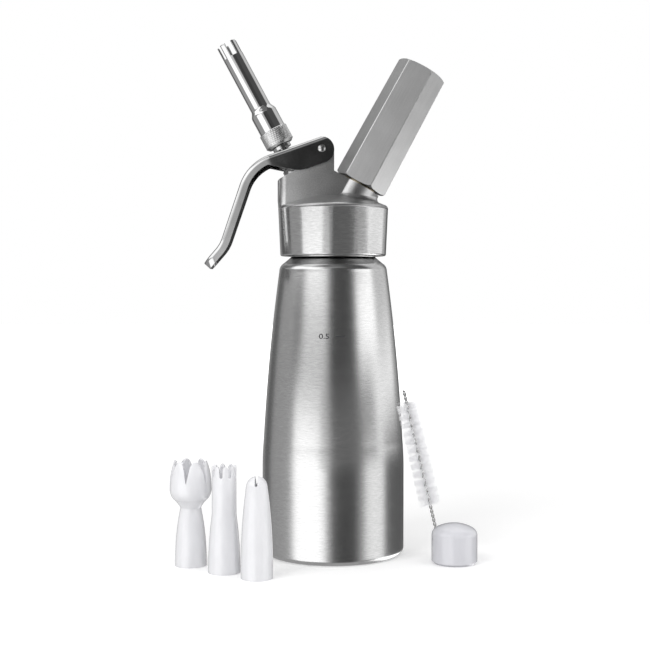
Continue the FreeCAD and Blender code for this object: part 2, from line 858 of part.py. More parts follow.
# ---- lever ----
def lever_body(label, inset, extra):
    """The lever's outline as a solid, with its outer skin moved in by inset.

    extra takes the open side, below the web and inside the grip, that much further out.
    """
    first = grip_bend
    last = grip_bend - flick
    skin = web_rise - inset
    bend_x = -web_length
    bend_z = web_rise - grip_bend_arc
    near = grip_bend_arc - inset
    far = flick_arc + inset
    low_x = bend_x - grip_bend_arc * sine(first) - grip_length * cosine(first)
    low_z = bend_z + grip_bend_arc * cosine(first) - grip_length * sine(first)
    flick_x = low_x - flick_arc * sine(first)
    flick_z = low_z + flick_arc * cosine(first)
    inner = grip_bend_arc - grip_depth - extra
    outer = flick_arc + grip_depth + extra
    reach = grip_end - inset
    tip_x = flick_x + far * sine(last) - reach * cosine(last)
    tip_z = flick_z - far * cosine(last) - reach * sine(last)
    back_x = flick_x + outer * sine(last) - reach * cosine(last)
    back_z = flick_z - outer * cosine(last) - reach * sine(last)
    edge = cheek_depth + extra
    ends = [
        (0, -edge),
        (web_rise, -cheek_end, cheek_end_arc, 1),
        (web_end, skin, cheek_end_arc, 1),
    ]
    if extra.value > 0:
        ends = [(web_rise * 2, -edge), (web_rise * 2, skin)]
    body = doc.addObject("PartDesign::Body", label)
    pad(body, "XZ_Plane", [
        (bend_x, skin),
        (bend_x - near * sine(first), bend_z + near * cosine(first), near, 1),
        (flick_x + far * sine(first), flick_z - far * cosine(first)),
        (flick_x + far * sine(last), flick_z - far * cosine(last), far, -1),
        (tip_x, tip_z),
        (back_x, back_z),
        (flick_x + outer * sine(last), flick_z - outer * cosine(last)),
        (flick_x + outer * sine(first), flick_z - outer * cosine(first), outer, 1),
        (bend_x - inner * sine(first), bend_z + inner * cosine(first)),
        (bend_x - inner * sine(cheek_join), bend_z + inner * cosine(cheek_join), inner, -1),
        (-cheek_length - cheek_arc * sine(cheek_turn), cheek_arc * (1 - cosine(cheek_turn)) - edge),
        (-cheek_length, -edge, cheek_arc, 1),
    ] + ends, (lever_half - inset) * 2)
    # seen from above, the grip narrows to a round tip
    start = bend_x
    beyond = back_x - grip_tip
    wide = lever_half * 1.5
    for side in (1, -1):
        cut(body, "XY_Plane", [
            (start, (lever_half - inset) * side),
            (tip_x + grip_tip, (grip_half - inset) * side),
            (tip_x, (grip_half - inset) * grip_tip_share * side, grip_tip, side),
            (beyond, (grip_half - inset) * grip_tip_share * side),
            (beyond, wide * side),
            (start, wide * side),
        ], grip_bend_arc * 6)
    return body


def round_lever(body):
    """Rounds the edges between the lever's outer skin and its sides."""
    doc.recompute()
    shape = body.Tip.Shape
    outward = FreeCAD.Vector(-0.55, 0, 0.83)

    def skin_edge(edge):
        normals = [mid_normal(face) for face in shape.ancestorsOfType(edge, Part.Face)]
        on_skin = any(normal.dot(outward) > 0.3 for normal in normals)
        on_side = any(abs(normal.y) > 0.85 for normal in normals)
        return on_skin and on_side

    round_off(body, lever_shoulder, skin_edge)


def mid_normal(face):
    u0, u1, v0, v1 = face.ParameterRange
    return face.normalAt((u0 + u1) / 2, (v0 + v1) / 2)


def make_lever():
    """The pressed lever: a channel that straddles the tower, bent down into the grip."""
    blank = lever_body("lever_blank", dim(0), dim(0))
    round_lever(blank)
    slot_x = web_crossing(web_rise - lever_wall * 0.5)[1] + slot_lead
    half = stem_radius + slot_room
    cut(blank, "XY_Plane", [
        (slot_x + slot_shift, -half),
        (slot_x + slot_shift + half, 0, half, 1),
        (slot_x + slot_shift, half, half, 1),
        (slot_x - slot_shift, half),
        (slot_x - slot_shift - half, 0, half, 1),
        (slot_x - slot_shift, -half, half, 1),
    ], lever_wall * 4, web_rise)
    drill(blank, pin_radius + running_fit, lever_half * 4, 0, 0, dim(-90),
          y=-lever_half * 2, axis=(1.0, 0.0, 0.0))
    core = lever_body("lever_core", lever_wall, lever_wall)
    shell = doc.addObject("Part::Cut", "lever")
    shell.Base = blank
    shell.Tool = core
    shell.Label = "lever"
    stand(shell, pivot_x, 0, pivot_z, -lever_slope)
    parts.append(shell)
    return shell


def make_lever_pin():
    """The pivot pin, with domed ends."""
    half = lever_half + pin_stand
    body = new_body("lever_pin")
    turn_solid(body, [
        (0, -half),
        (pin_radius, pin_dome - half, dome(pin_radius, pin_dome), 1),
        (pin_radius, half - pin_dome),
        (0, half, dome(pin_radius, pin_dome), 1),
    ])
    stand(body, pivot_x, 0, pivot_z, dim(90), (1.0, 0.0, 0.0))
    return body


# ---- charger port ----
def make_port_stud():
    """The threaded stud that the holder screws on, with a bowl for the charger's neck."""
    bowl_floor = stud_height - stud_bowl_depth
    body = new_body("port_stud")
    turn_solid(body, [
        (piercer_radius + seat_gap, -stud_shank_depth),
        (stud_shank, -stud_shank_depth),
        (stud_shank, 0),
        (stud_radius, 0),
        (stud_radius, stud_height - gap * 2),
        (stud_radius - gap * 2, stud_height),
        (stud_bowl + gap, stud_height),
        (stud_bowl, stud_height - gap),
        (stud_bowl, bowl_floor),
        (piercer_radius + seat_gap, bowl_floor),
    ])
    return on_port(body)


def make_pin_seal():
    low = stud_height - stud_bowl_depth + seat_gap
    inner = piercer_radius + seat_gap
    return on_port(ring("pin_seal", inner, stud_bowl - seat_gap, low, low + pin_seal_height))


def make_piercing_pin():
    """The hollow pin that opens the charger, with a slanted point."""
    top = stud_height - stud_bowl_depth + piercer_rise
    body = new_body("piercing_pin")
    turn_solid(body, [
        (piercer_bore, -stud_shank_depth),
        (piercer_radius, -stud_shank_depth),
        (piercer_radius, top - piercer_point),
        (piercer_bore + piercer_rim, top),
        (piercer_bore, top),
    ])
    return on_port(body)


def make_gas_valve():
    """The rubber disc that lets gas into the bottle and not back."""
    high = -(gas_pocket_depth + seat_gap)
    low = high - gas_valve_height
    return on_port(ring("non_return_seal", gas_valve_bore, gas_pocket - gap, low, high))


def hexagon(corner_radius, turn):
    """The six corners of a hexagon, turned by an angle."""
    angles = [turn + 60 * step for step in range(6)]
    return [(corner_radius * cosine(angle), corner_radius * sine(angle)) for angle in angles]


def make_holder():
    """The charger holder: a tapered hexagon, turned round at both ends and bored out."""
    top = holder_gap + holder_length
    body = new_body("charger_holder")
    corners = hexagon(holder_corner, holder_turn)
    grip = pad(body, "XY_Plane", corners, holder_length, holder_gap, False)
    grip.TaperAngle = -holder_taper.value
    bind(grip, "TaperAngle", -holder_taper)
    outside = holder_corner * 1.5
    below = holder_gap - margin
    turn_away(body, [
        (holder_corner - holder_foot_step, below),
        (holder_corner - holder_foot_step, holder_gap),
        (holder_corner, holder_gap + holder_foot_bevel, holder_foot_arc, 1),
        (outside, holder_gap + holder_foot_bevel),
        (outside, below),
    ])
    turn_away(body, [
        (holder_crown, top + margin),
        (holder_crown, top),
        (holder_corner, top - holder_top_round, holder_top_arc, -1),
        (outside, top - holder_top_round),
        (outside, top + margin),
    ])
    roof = top - holder_roof
    turn_away(body, [
        (0, below),
        (holder_bore + holder_mouth, below),
        (holder_bore + holder_mouth, holder_gap),
        (holder_bore, holder_gap + holder_mouth),
        (holder_bore, roof - holder_roof),
        (holder_bore - holder_roof, roof, holder_roof, 1),
        (0, roof),
    ])
    return on_port(body)


def make_liner():
    """The thin sleeve that steadies the charger inside the holder."""
    low = stud_height + liner_gap
    high = holder_gap + holder_length - holder_roof * 2 - gap
    outer = holder_bore - liner_room
    return on_port(ring("charger_liner", outer - liner_wall, outer, low, high))


# ---- pieces that stand beside the bottle ----
tip_wall = size("tip_wall", 1.3)

tulip_x = size("tulip_x", -75.6)
tulip_y = size("tulip_y", -33.5)
tulip_foot = size("tulip_foot_radius", 8.35)
tulip_neck = size("tulip_neck_radius", 5.5)
tulip_neck_height = size("tulip_neck_height", 30.8)
tulip_foot_arc = size("tulip_foot_arc", 150.0)
tulip_flare = size("tulip_flare_step", 3.75)
tulip_flare_rise = size("tulip_flare_rise", 4.7)
tulip_flare_arc = size("tulip_flare_arc", 16.0)
tulip_bulge = size("tulip_bulge_radius", 11.0)
tulip_bulge_rise = size("tulip_bulge_rise", 5.8)
tulip_bulge_arc = size("tulip_bulge_arc", 8.0)
tulip_mouth = size("tulip_mouth_radius", 8.4)
petal_rise = size("petal_rise", 14.4)
petal_arc = size("petal_arc", 40.0)
petal_count = size("petal_count", 6)
petal_notch = size("petal_notch_depth", 11.2)
petal_notch_half = size("petal_notch_half_width", 2.0)
petal_turn = size("petal_turn", -7.0)

star_x = size("star_x", -56.6)
star_y = size("star_y", -49.2)
star_foot = size("star_foot_radius", 8.4)
star_waist = size("star_waist_radius", 6.4)
star_waist_height = size("star_waist_height", 30.0)
star_foot_arc = size("star_foot_arc", 240.0)
star_mouth = size("star_mouth_radius", 6.3)
star_rise = size("star_mouth_rise", 25.4)
tooth_count = size("tooth_count", 8)
tooth_depth = size("tooth_depth", 6.0)
tooth_gap = size("tooth_gap_width", 1.9)
star_turn = size("star_turn", -10.7)

plain_x = size("plain_x", -39.0)
plain_y = size("plain_y", -62.2)
plain_foot = size("plain_foot_radius", 8.1)
plain_shoulder = size("plain_shoulder_radius", 5.4)
plain_shoulder_height = size("plain_shoulder_height", 47.1)
plain_foot_arc = size("plain_foot_arc", 300.0)
plain_rise = size("plain_dome_rise", 4.7)
slit_count = size("slit_count", 4)
slit_width = size("slit_width", 1.5)
slit_depth = size("slit_depth", 4.5)
plain_turn = size("plain_turn", -1.5)

cap_x = bottle_radius + size("cap_stand", 25.5)
cap_y = size("cap_y", -28.0)
cap_radius = size("cap_radius", 12.2)
cap_wall = size("cap_wall", 1.3)
cap_side = size("cap_side_height", 15.5)
cap_corner = size("cap_corner_arc", 6.0)
cap_corner_rise = size("cap_corner_rise", 3.2)
cap_corner_step = size("cap_corner_step", 2.9)
cap_crown_rise = size("cap_crown_rise", 2.6)

brush_x = bottle_radius + size("brush_stand", 20.6)
brush_y = size("brush_y", -8.0)
brush_lean = size("brush_lean", 15.2)
brush_bearing = size("brush_bearing", 28.3)
brush_wire = size("brush_wire_radius", 1.0)
brush_length = size("brush_length", 95.0)
bristle_radius = size("bristle_radius", 6.35)
bristle_start = size("bristle_start", 29.0)
bristle_length = size("bristle_length", 59.0)


def make_tulip_tip():
    """The tulip tip: a hollow foot, a waist and a bulb cut into petals."""
    flare_radius = tulip_neck + tulip_flare
    flare_height = tulip_neck_height + tulip_flare_rise
    bulge_height = flare_height + tulip_bulge_rise
    top = bulge_height + petal_rise
    body = new_body("tulip_tip")
    turn_solid(body, [
        (tulip_foot - tip_wall, 0),
        (tulip_foot, 0),
        (tulip_neck, tulip_neck_height, tulip_foot_arc, 1),
        (flare_radius, flare_height, tulip_flare_arc, -1),
        (tulip_bulge, bulge_height, tulip_bulge_arc, 1),
        (tulip_mouth, top, petal_arc, 1),
        (tulip_mouth - tip_wall, top),
        (tulip_bulge - tip_wall, bulge_height, petal_arc, -1),
        (flare_radius - tip_wall, flare_height + tip_wall * 0.6, tulip_bulge_arc, -1),
        (tulip_neck - tip_wall, tulip_neck_height + tip_wall * 0.4, tulip_flare_arc, 1),
    ])
    low = top - petal_notch
    notch = cut_wedge(body, low, top + margin, petal_notch_half, tulip_bulge * 2)
    repeat_round(body, notch, petal_count)
    stand(body, tulip_x, tulip_y, 0, petal_turn, (0.0, 0.0, 1.0))
    return body


def cut_wedge(body, low, high, half, reach):
    """Cuts a V out of one side of a tube, from its rim down to a point at low."""
    pocket = body.newObject("PartDesign::Pocket", body.Label + "_notch")
    pocket.Profile = draw(body, "XZ_Plane", [(half, high), (-half, high), (0, low)])
    pocket.Reversed = True
    bind(pocket, "Length", reach)
    body.Tip = pocket
    return pocket


def make_star_tip():
    """The star tip: a tapered tube with teeth round its mouth."""
    star_height = star_waist_height + star_rise
    body = new_body("star_tip")
    turn_solid(body, [
        (star_foot - tip_wall, 0),
        (star_foot, 0),
        (star_waist, star_waist_height, star_foot_arc, 1),
        (star_mouth, star_height),
        (star_mouth - tip_wall, star_height),
        (star_waist - tip_wall, star_waist_height),
    ])
    slot = body.newObject("PartDesign::SubtractiveBox", "star_tip_slot")
    bind(slot, "Length", tooth_gap)
    bind(slot, "Width", star_foot * 2)
    bind(slot, "Height", tooth_depth * 2)
    stand(slot, -tooth_gap * 0.5, -star_foot * 2, star_height - tooth_depth)
    body.Tip = slot
    repeat_round(body, slot, tooth_count)
    stand(body, star_x, star_y, 0, star_turn, (0.0, 0.0, 1.0))
    return body


def make_plain_tip():
    """The plain tip: a tapered tube with a domed end that is slit crosswise."""
    top = plain_shoulder_height + plain_rise
    bore = plain_shoulder - tip_wall
    body = new_body("plain_tip")
    turn_solid(body, [
        (plain_foot - tip_wall, 0),
        (plain_foot, 0),
        (plain_shoulder, plain_shoulder_height, plain_foot_arc, 1),
        (0, top, dome(plain_shoulder, plain_rise), 1),
        (0, top - tip_wall),
        (bore, plain_shoulder_height, dome(bore, plain_rise - tip_wall), -1),
    ])
    slit = body.newObject("PartDesign::SubtractiveBox", "plain_tip_slit")
    bind(slit, "Length", slit_width)
    bind(slit, "Width", plain_foot * 2)
    bind(slit, "Height", slit_depth * 2)
    stand(slit, -slit_width * 0.5, -plain_foot, top - slit_depth)
    body.Tip = slit
    repeat_round(body, slit, slit_count)
    stand(body, plain_x, plain_y, 0, plain_turn, (0.0, 0.0, 1.0))
    return body


def make_port_cap():
    """The cap for the charger port, open below, with a domed top."""
    inner = cap_radius - cap_wall
    crown = cap_radius - cap_corner_step
    side = cap_side + cap_corner_rise
    top = side + cap_crown_rise
    body = new_body("port_cap")
    turn_solid(body, [
        (inner, 0),
        (cap_radius, 0),
        (cap_radius, cap_side),
        (crown, side, cap_corner, 1),
        (0, top, dome(crown, cap_crown_rise), 1),
        (0, top - cap_wall),
        (crown - cap_wall, side - cap_wall, dome(crown - cap_wall, cap_crown_rise), -1),
        (inner, cap_side - cap_wall, cap_corner, -1),
    ])
    stand(body, cap_x, cap_y, 0)
    return body


def lean(item):
    """Leans an upright piece of the brush against the bottle."""
    stand(item, brush_x, brush_y, brush_wire * sine(brush_lean), brush_lean)
    across = FreeCAD.Vector(sine(brush_bearing).value, -cosine(brush_bearing).value, 0)
    item.Placement.Rotation = FreeCAD.Rotation(across, brush_lean.value)
    bind(item, "Placement.Rotation.Axis.x", sine(brush_bearing))
    bind(item, "Placement.Rotation.Axis.y", -cosine(brush_bearing))
    return item


def make_brush():
    """The cleaning brush: a twisted wire, and the round of its bristles as one soft solid."""
    lean(ring_solid("brush_wire", brush_wire, 0, brush_length))
    low = bristle_start
    lean(ring("brush_bristles", brush_wire + seat_gap, bristle_radius, low, low + bristle_length))


def ring_solid(label, radius, low, high):
    body = new_body(label)
    turn_solid(body, [(0, low), (radius, low), (radius, high), (0, high)])
    return body


make_bottle()
make_head()
make_head_gasket()
make_gland()
make_stem_ring()
make_stem()
make_valve_seat()
make_spring()
make_press_collar()
make_adapter()
make_nozzle_washer()
make_nut()
make_nozzle()
make_lever()
make_lever_pin()
make_port_stud()
make_pin_seal()
make_piercing_pin()
make_gas_valve()
make_holder()
make_liner()
make_tulip_tip()
make_star_tip()
make_plain_tip()
make_port_cap()
make_brush()

doc.recompute()
problems = []
for item in doc.Objects:
    if "Invalid" in item.State or "Error" in item.State:
        problems.append(item.Label + ": " + ", ".join(item.State))
for part in parts:
    if part.Shape.isNull() or not part.Shape.isValid() or not part.Shape.Solids:
        problems.append(part.Label + ": no valid solid")
if problems:
    raise SystemExit("\n".join(problems))

os.makedirs("parts", exist_ok=True)
for part in parts:
    part.Shape.exportStep("parts/%s.step" % part.Label)
    print(part.Label, len(part.Shape.Solids), round(part.Shape.Volume, 1))
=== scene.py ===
import json
import math

import bmesh
import bpy
import mathutils
import numpy as np
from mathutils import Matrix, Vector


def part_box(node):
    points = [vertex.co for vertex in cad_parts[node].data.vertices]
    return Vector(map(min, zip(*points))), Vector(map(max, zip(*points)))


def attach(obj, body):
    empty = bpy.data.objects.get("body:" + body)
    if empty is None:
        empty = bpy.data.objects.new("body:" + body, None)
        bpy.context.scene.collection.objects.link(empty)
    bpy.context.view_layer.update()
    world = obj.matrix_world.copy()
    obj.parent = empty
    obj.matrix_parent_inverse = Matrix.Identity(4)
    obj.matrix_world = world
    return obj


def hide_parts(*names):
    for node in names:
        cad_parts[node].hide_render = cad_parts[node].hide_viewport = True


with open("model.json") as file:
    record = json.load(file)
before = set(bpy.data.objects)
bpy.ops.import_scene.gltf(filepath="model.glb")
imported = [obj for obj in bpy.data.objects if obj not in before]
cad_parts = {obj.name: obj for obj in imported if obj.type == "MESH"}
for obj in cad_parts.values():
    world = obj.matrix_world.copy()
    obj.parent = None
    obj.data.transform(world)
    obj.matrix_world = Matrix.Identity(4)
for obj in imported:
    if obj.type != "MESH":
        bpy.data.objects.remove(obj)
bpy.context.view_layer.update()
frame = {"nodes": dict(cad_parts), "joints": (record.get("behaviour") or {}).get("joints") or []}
print("frame loaded:", len(frame["nodes"]), "nodes")

mm = 0.001          # lengths below are in millimetres unless they say otherwise
sharpAngle = math.radians(38)       # edges that turn by more than this stay crisp
joints = {joint["name"]: joint for joint in frame["joints"]}


class Sizes(dict):
    # a piece's dictionary, whose entries are read as s.name
    __getattr__ = dict.__getitem__


# meshes

def newPiece(name, data):
    piece = bpy.data.objects.new(name, data)
    bpy.context.scene.collection.objects.link(piece)
    return piece


def meshPiece(name, points, quads):
    # an (n, 3) array of points in millimetres and an (m, 4) array of their quads
    mesh = bpy.data.meshes.new(name)
    mesh.vertices.add(len(points))
    mesh.vertices.foreach_set("co", (points * mm).ravel())
    mesh.loops.add(quads.size)
    mesh.loops.foreach_set("vertex_index", quads.ravel())
    mesh.polygons.add(len(quads))
    mesh.polygons.foreach_set("loop_start", np.arange(0, quads.size, quads.shape[1]))
    mesh.update(calc_edges=True)
    return cleaned(newPiece(name, mesh))


def opened(mesh):
    work = bmesh.new()
    work.from_mesh(mesh)
    return work


def stored(work, mesh):
    work.to_mesh(mesh)
    work.free()
    mesh.shade_smooth()
    return mesh


def cleaned(piece, flatten=False, reach=0.0004):
    # joins points that lie together, drops faces without area, and shades the rest smooth
    work = opened(piece.data)
    bmesh.ops.remove_doubles(work, verts=work.verts, dist=reach * mm)
    bmesh.ops.dissolve_degenerate(work, edges=work.edges, dist=reach * mm)
    if flatten:
        flatAngle = math.radians(0.4)
        bmesh.ops.dissolve_limit(work, angle_limit=flatAngle, verts=work.verts, edges=work.edges)
    stored(work, piece.data).set_sharp_from_angle(angle=sharpAngle)
    return piece


def gridPiece(name, grid, keep=None):
    # a grid of points, (rows, columns, 3), whose rows are closed rings; keep says which of the
    # quads between its rows stay
    rows, columns = grid.shape[:2]
    index = np.arange(rows * columns).reshape(rows, columns)
    index = np.hstack([index, index[:, :1]])
    quads = np.stack([index[:-1, :-1], index[:-1, 1:], index[1:, 1:], index[1:, :-1]], -1)
    chosen = quads.reshape(-1, 4) if keep is None else quads[keep]
    return meshPiece(name, grid.reshape(-1, 3), chosen)


def joined(name, pieces):
    # several meshes as one
    work = bmesh.new()
    for piece in pieces:
        work.from_mesh(piece.data)
        bpy.data.objects.remove(piece)
    mesh = bpy.data.meshes.new(name)
    work.to_mesh(mesh)
    work.free()
    return newPiece(name, mesh)


def placed(piece, body, material, node=None, mirrored=True):
    # places a piece: the body it rides on, its material's slot and the node it stands for;
    # what isn't mirrored doesn't show in the steel
    if node:
        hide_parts(node)
    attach(piece, body)
    piece.data.materials.append(material)
    piece.visible_glossy = mirrored


# outlines: radius and height of a turned piece

def share(value, low, high):
    # how far the value has come from low (0) to high (1)
    return np.clip((value - low) / (high - low), 0, 1)


def ringed(radius, angle, level):
    # points at an angle round the axis
    return np.stack([radius * np.cos(angle), radius * np.sin(angle), level], -1)


def arcTo(start, end, radius, turn, steps=16):
    # points of the shorter arc from start to end, without start; turn 1 bends left and -1 right
    start, end = np.array(start, float), np.array(end, float)
    chord = end - start
    length = np.hypot(*chord)
    side = np.array([-chord[1], chord[0]]) / length * turn
    centre = (start + end) / 2 + side * math.sqrt(max(radius ** 2 - length ** 2 / 4, 0))
    first = math.atan2(*(start - centre)[::-1])
    sweep = 2 * math.asin(min(length / 2 / radius, 1)) * turn
    angle = first + sweep * np.arange(1, steps + 1) / steps
    return centre + radius * np.stack([np.cos(angle), np.sin(angle)], -1)


def outline(corners, closed=True):
    # a corner is (radius, height), with its round as a third number; an arc that leads to a
    # corner adds the arc's radius and turn: (radius, height, round, arc radius, turn)
    roundSteps, arcStep, fewest, most = 5, 2.5, 10, 40
    places, rounds = [], []
    for index, corner in enumerate(corners):
        end = np.array(corner[:2], float)
        if len(corner) > 3:
            length = np.hypot(*(end - np.array(corners[index - 1][:2])))
            count = int(np.clip(length / arcStep, fewest, most))
            places.extend(arcTo(corners[index - 1][:2], end, corner[3], corner[4], count))
            rounds.extend([0] * (count - 1))
        else:
            places.append(end)
        rounds.append(corner[2] if len(corner) > 2 else 0)
    points = []
    for index, (here, size) in enumerate(zip(places, rounds)):
        if not size:
            points.append(here[None])
            continue
        before = places[index - 1] - here
        after = places[(index + 1) % len(places)] - here
        before /= np.hypot(*before)
        after /= np.hypot(*after)
        half = math.acos(np.clip(before @ after, -1, 1)) / 2
        back = size / math.tan(half)
        start, end = here + before * back, here + after * back
        turn = 1 if before[0] * after[1] - before[1] * after[0] < 0 else -1
        points.append(np.vstack([start[None], arcTo(start, end, size, turn, roundSteps)]))
    whole = np.vstack(points)
    return np.vstack([whole, whole[:1]]) if closed else whole


def spread(profile, step):
    # the same outline with points no further apart than step
    pieces = []
    for start, end in zip(profile[:-1], profile[1:]):
        count = max(1, math.ceil(np.hypot(*(end - start)) / step))
        pieces.append(start + (end - start) * np.arange(count)[:, None] / count)
    return np.vstack(pieces + [profile[-1:]])


def banded(profile, chosen, radius, count):
    # the chosen rows, which follow each other, as count even rows at one radius, to carry relief
    height = profile[chosen, 1]
    even = np.stack([np.full(count, radius), np.linspace(height[0], height[-1], count)], -1)
    first = int(np.argmax(chosen))
    return np.vstack([profile[:first], even, profile[first + len(height):]])


class Axis:
    # a line in the frame that pieces are turned about, with its own across and side directions

    def __init__(self, origin, along=(0, 0, 1)):
        self.origin = np.array(origin, float)
        self.along = np.array(along, float) / np.linalg.norm(along)
        self.across = np.cross((0, 1, 0), self.along)
        self.across /= np.linalg.norm(self.across)
        self.side = np.cross(self.along, self.across)

    def place(self, points):
        return self.origin + points @ np.stack([self.across, self.side, self.along])

    def lean(self):
        # how far the line leans to the right of upright
        return math.atan2(self.along[0], self.along[2])


def standing(node):
    # the upright axis through the middle of a node's box
    low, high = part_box(node)
    return Axis(((low.x + high.x) / 2 / mm, (low.y + high.y) / 2 / mm, 0))


valveFoot, portFoot = (-21.0, 0, 210.8), (14.3, 0, 203.2)       # where the two sockets leave the head
upright = Axis((0, 0, 0))
valveAxis = Axis(valveFoot, joints["nozzle_unscrew"]["axis"])
portAxis = Axis(portFoot, joints["holder_unscrew"]["axis"])


def turned(name, axis, profile, turns, relief=None):
    # a closed turned solid: x = r cos a, y = r sin a, z = height; its outline runs up the outer
    # side and ends where it starts, or starts and ends on the axis, and doubled points are merged
    angle = np.linspace(0, 2 * math.pi, turns, endpoint=False)
    radius, height = profile[:, :1], profile[:, 1:]
    if relief is not None:
        radius = radius + relief(angle[None], height, radius)
    return gridPiece(name, axis.place(ringed(radius, angle, height + 0 * angle)))


def thread(core, pitch, rise, low, high, fade=0.8):
    # a right-hand thread on the rows whose radius is core: a rounded ridge,
    # rise * (sin(pi * turn))^2, that climbs one pitch a turn
    def relief(angle, level, radius):
        turn = (level / pitch - angle / (2 * math.pi)) % 1.0
        ends = share(level, low, low + fade) * share(level, high, high - fade)
        ridge = rise * ends * np.sin(math.pi * turn) ** 2
        return np.where(np.abs(radius - core) < 0.01, ridge, 0.0)
    return relief


def walled(piece, wall, ease, segments=2):
    # gives a sheet its wall, inwards, and rounds the edges that the wall brings
    solid = piece.modifiers.new("wall", "SOLIDIFY")
    solid.thickness = wall * mm
    solid.offset = -1
    return eased(piece, ease, 50, segments)


def eased(piece, width, angle, segments=2):
    # rounds the edges that turn by more than angle, in degrees; large faces keep their own
    # direction beside the narrow ones
    bevel = piece.modifiers.new("edges", "BEVEL")
    bevel.width = width * mm
    bevel.segments = segments
    bevel.limit_method = "ANGLE"
    bevel.angle_limit = math.radians(angle)
    normals = piece.modifiers.new("shading", "WEIGHTED_NORMAL")
    normals.mode = "FACE_AREA"
    normals.weight = 90
    normals.keep_sharp = True
    view = bpy.context.evaluated_depsgraph_get()
    mesh = bpy.data.meshes.new_from_object(piece.evaluated_get(view))
    piece.modifiers.clear()
    piece.data = mesh
    return piece


def dressed(node, ease=0.0, angle=28):
    # a merged copy of a CAD node whose edges are eased, so that they catch the light
    source = frame["nodes"][node]
    piece = newPiece(node + "_dressed", source.data.copy())
    piece.data.materials.clear()
    cleaned(piece, flatten=True, reach=0.002)
    if ease:
        eased(piece, ease, angle)
    else:
        piece.data.set_sharp_from_angle(angle=math.radians(angle))
    return piece


# materials

class Wire:
    # a shader socket, or a plain number, with ordinary arithmetic on it

    def __init__(self, tree, socket):
        self.tree = tree
        self.socket = socket

    def maths(self, operation, *others):
        node = self.tree.nodes.new("ShaderNodeMath")
        node.operation = operation
        for slot, value in zip(node.inputs, (self,) + others):
            plug(self.tree, slot, value)
        return Wire(self.tree, node.outputs[0])

    def __add__(self, other):
        return self.maths("ADD", other)

    def __sub__(self, other):
        return self.maths("SUBTRACT", other)

    def __rsub__(self, other):
        return self.maths("MULTIPLY_ADD", -1.0, other)

    def __mul__(self, other):
        return self.maths("MULTIPLY", other)

    __radd__ = __add__
    __rmul__ = __mul__

    def __truediv__(self, other):
        return self.maths("DIVIDE", other)

    def between(self, low, high):
        # 0 below low, 1 above high, smooth between
        t = ((self - low) / (high - low)).maths("MAXIMUM", 0.0).maths("MINIMUM", 1.0)
        return t * t * (3.0 - 2.0 * t)


def plug(tree, slot, value):
    # sets a socket or links it
    if isinstance(value, Wire):
        tree.links.new(value.socket, slot)
    elif isinstance(value, (tuple, list)) and len(value) == 3 and slot.type == "RGBA":
        slot.default_value = (*value, 1)
    else:
        slot.default_value = value


class Finish:
    # a material under construction, with one Principled shader

    def __init__(self, name, **sockets):
        self.material = bpy.data.materials.new(name)
        self.material.use_nodes = True
        self.tree = self.material.node_tree
        self.shader = self.tree.nodes["Principled BSDF"]
        self.place = self.node("ShaderNodeTexCoord")["Object"]
        for socket, value in sockets.items():
            self.set(socket.replace("_", " "), value)

    def node(self, kind, settings=None, **inputs):
        # any node: its settings first, then the values or links of its sockets
        node = self.tree.nodes.new(kind)
        for key, value in (settings or {}).items():
            setattr(node, key, value)
        for key, value in inputs.items():
            plug(self.tree, node.inputs[key.replace("_", " ")], value)
        return {out.name: Wire(self.tree, out) for out in node.outputs if out.enabled}

    def set(self, socket, value):
        plug(self.tree, self.shader.inputs[socket], value)

    def scaled(self, *factors, turn=0.0):
        # the object's coordinates, turned about Y, with so many pattern steps in each millimetre;
        # one number serves all three axes
        steps = tuple(mm / factor for factor in np.broadcast_to(factors, 3))
        return self.node("ShaderNodeMapping", {"vector_type": "TEXTURE"}, Vector=self.place,
                         Rotation=(0.0, -turn, 0.0), Scale=steps)["Vector"]

    def axes(self):
        split = self.node("ShaderNodeSeparateXYZ", Vector=self.place)
        return split["X"], split["Y"], split["Z"]

    def noise(self, where, detail=2.0, roughness=0.5):
        return self.node("ShaderNodeTexNoise", Vector=where, Scale=1.0, Detail=detail,
                         Roughness=roughness)["Fac"]

    def tint(self, factor, first, second):
        # the first colour where the factor is 0 and the second where it is 1
        node = self.tree.nodes.new("ShaderNodeMix")
        node.data_type = "RGBA"
        plug(self.tree, node.inputs["Factor"], factor)
        plug(self.tree, node.inputs[6], first)
        plug(self.tree, node.inputs[7], second)
        return Wire(self.tree, node.outputs[2])

    def colour(self, tone, low, high, dark, light):
        # Base Color from dark to light as the tone goes from low to high
        self.set("Base Color", self.tint(tone.between(low, high), dark, light))

    def bump(self, height, depth):
        # depth is the height's real size in millimetres
        normal = self.node("ShaderNodeBump", Height=height, Distance=depth * mm, Strength=1.0)
        self.set("Normal", normal["Normal"])


def grey(level):
    return level, level, level


def brushedSteel(name, shade, rough):
    # steel brushed round its upright axis: short fine level lines over slow drifts
    lines, depth = 2.6, 0.0009
    finish = Finish(name, Metallic=1.0, Anisotropic=0.55)
    streaks = finish.noise(finish.scaled(0.3, 0.3, lines), detail=4.0, roughness=0.7)
    broad = finish.noise(finish.scaled(0.02, 0.02, lines * 0.12))
    patches = finish.noise(finish.scaled(0.05))
    tone = streaks * 0.9 + broad * 0.1
    finish.colour(tone, 0.25, 0.75, grey(shade * 0.88), grey(shade * 1.1))
    finish.set("Roughness", rough + 0.06 * (tone - 0.5) + 0.03 * (patches - 0.5))
    finish.bump(streaks, depth)
    return finish.material


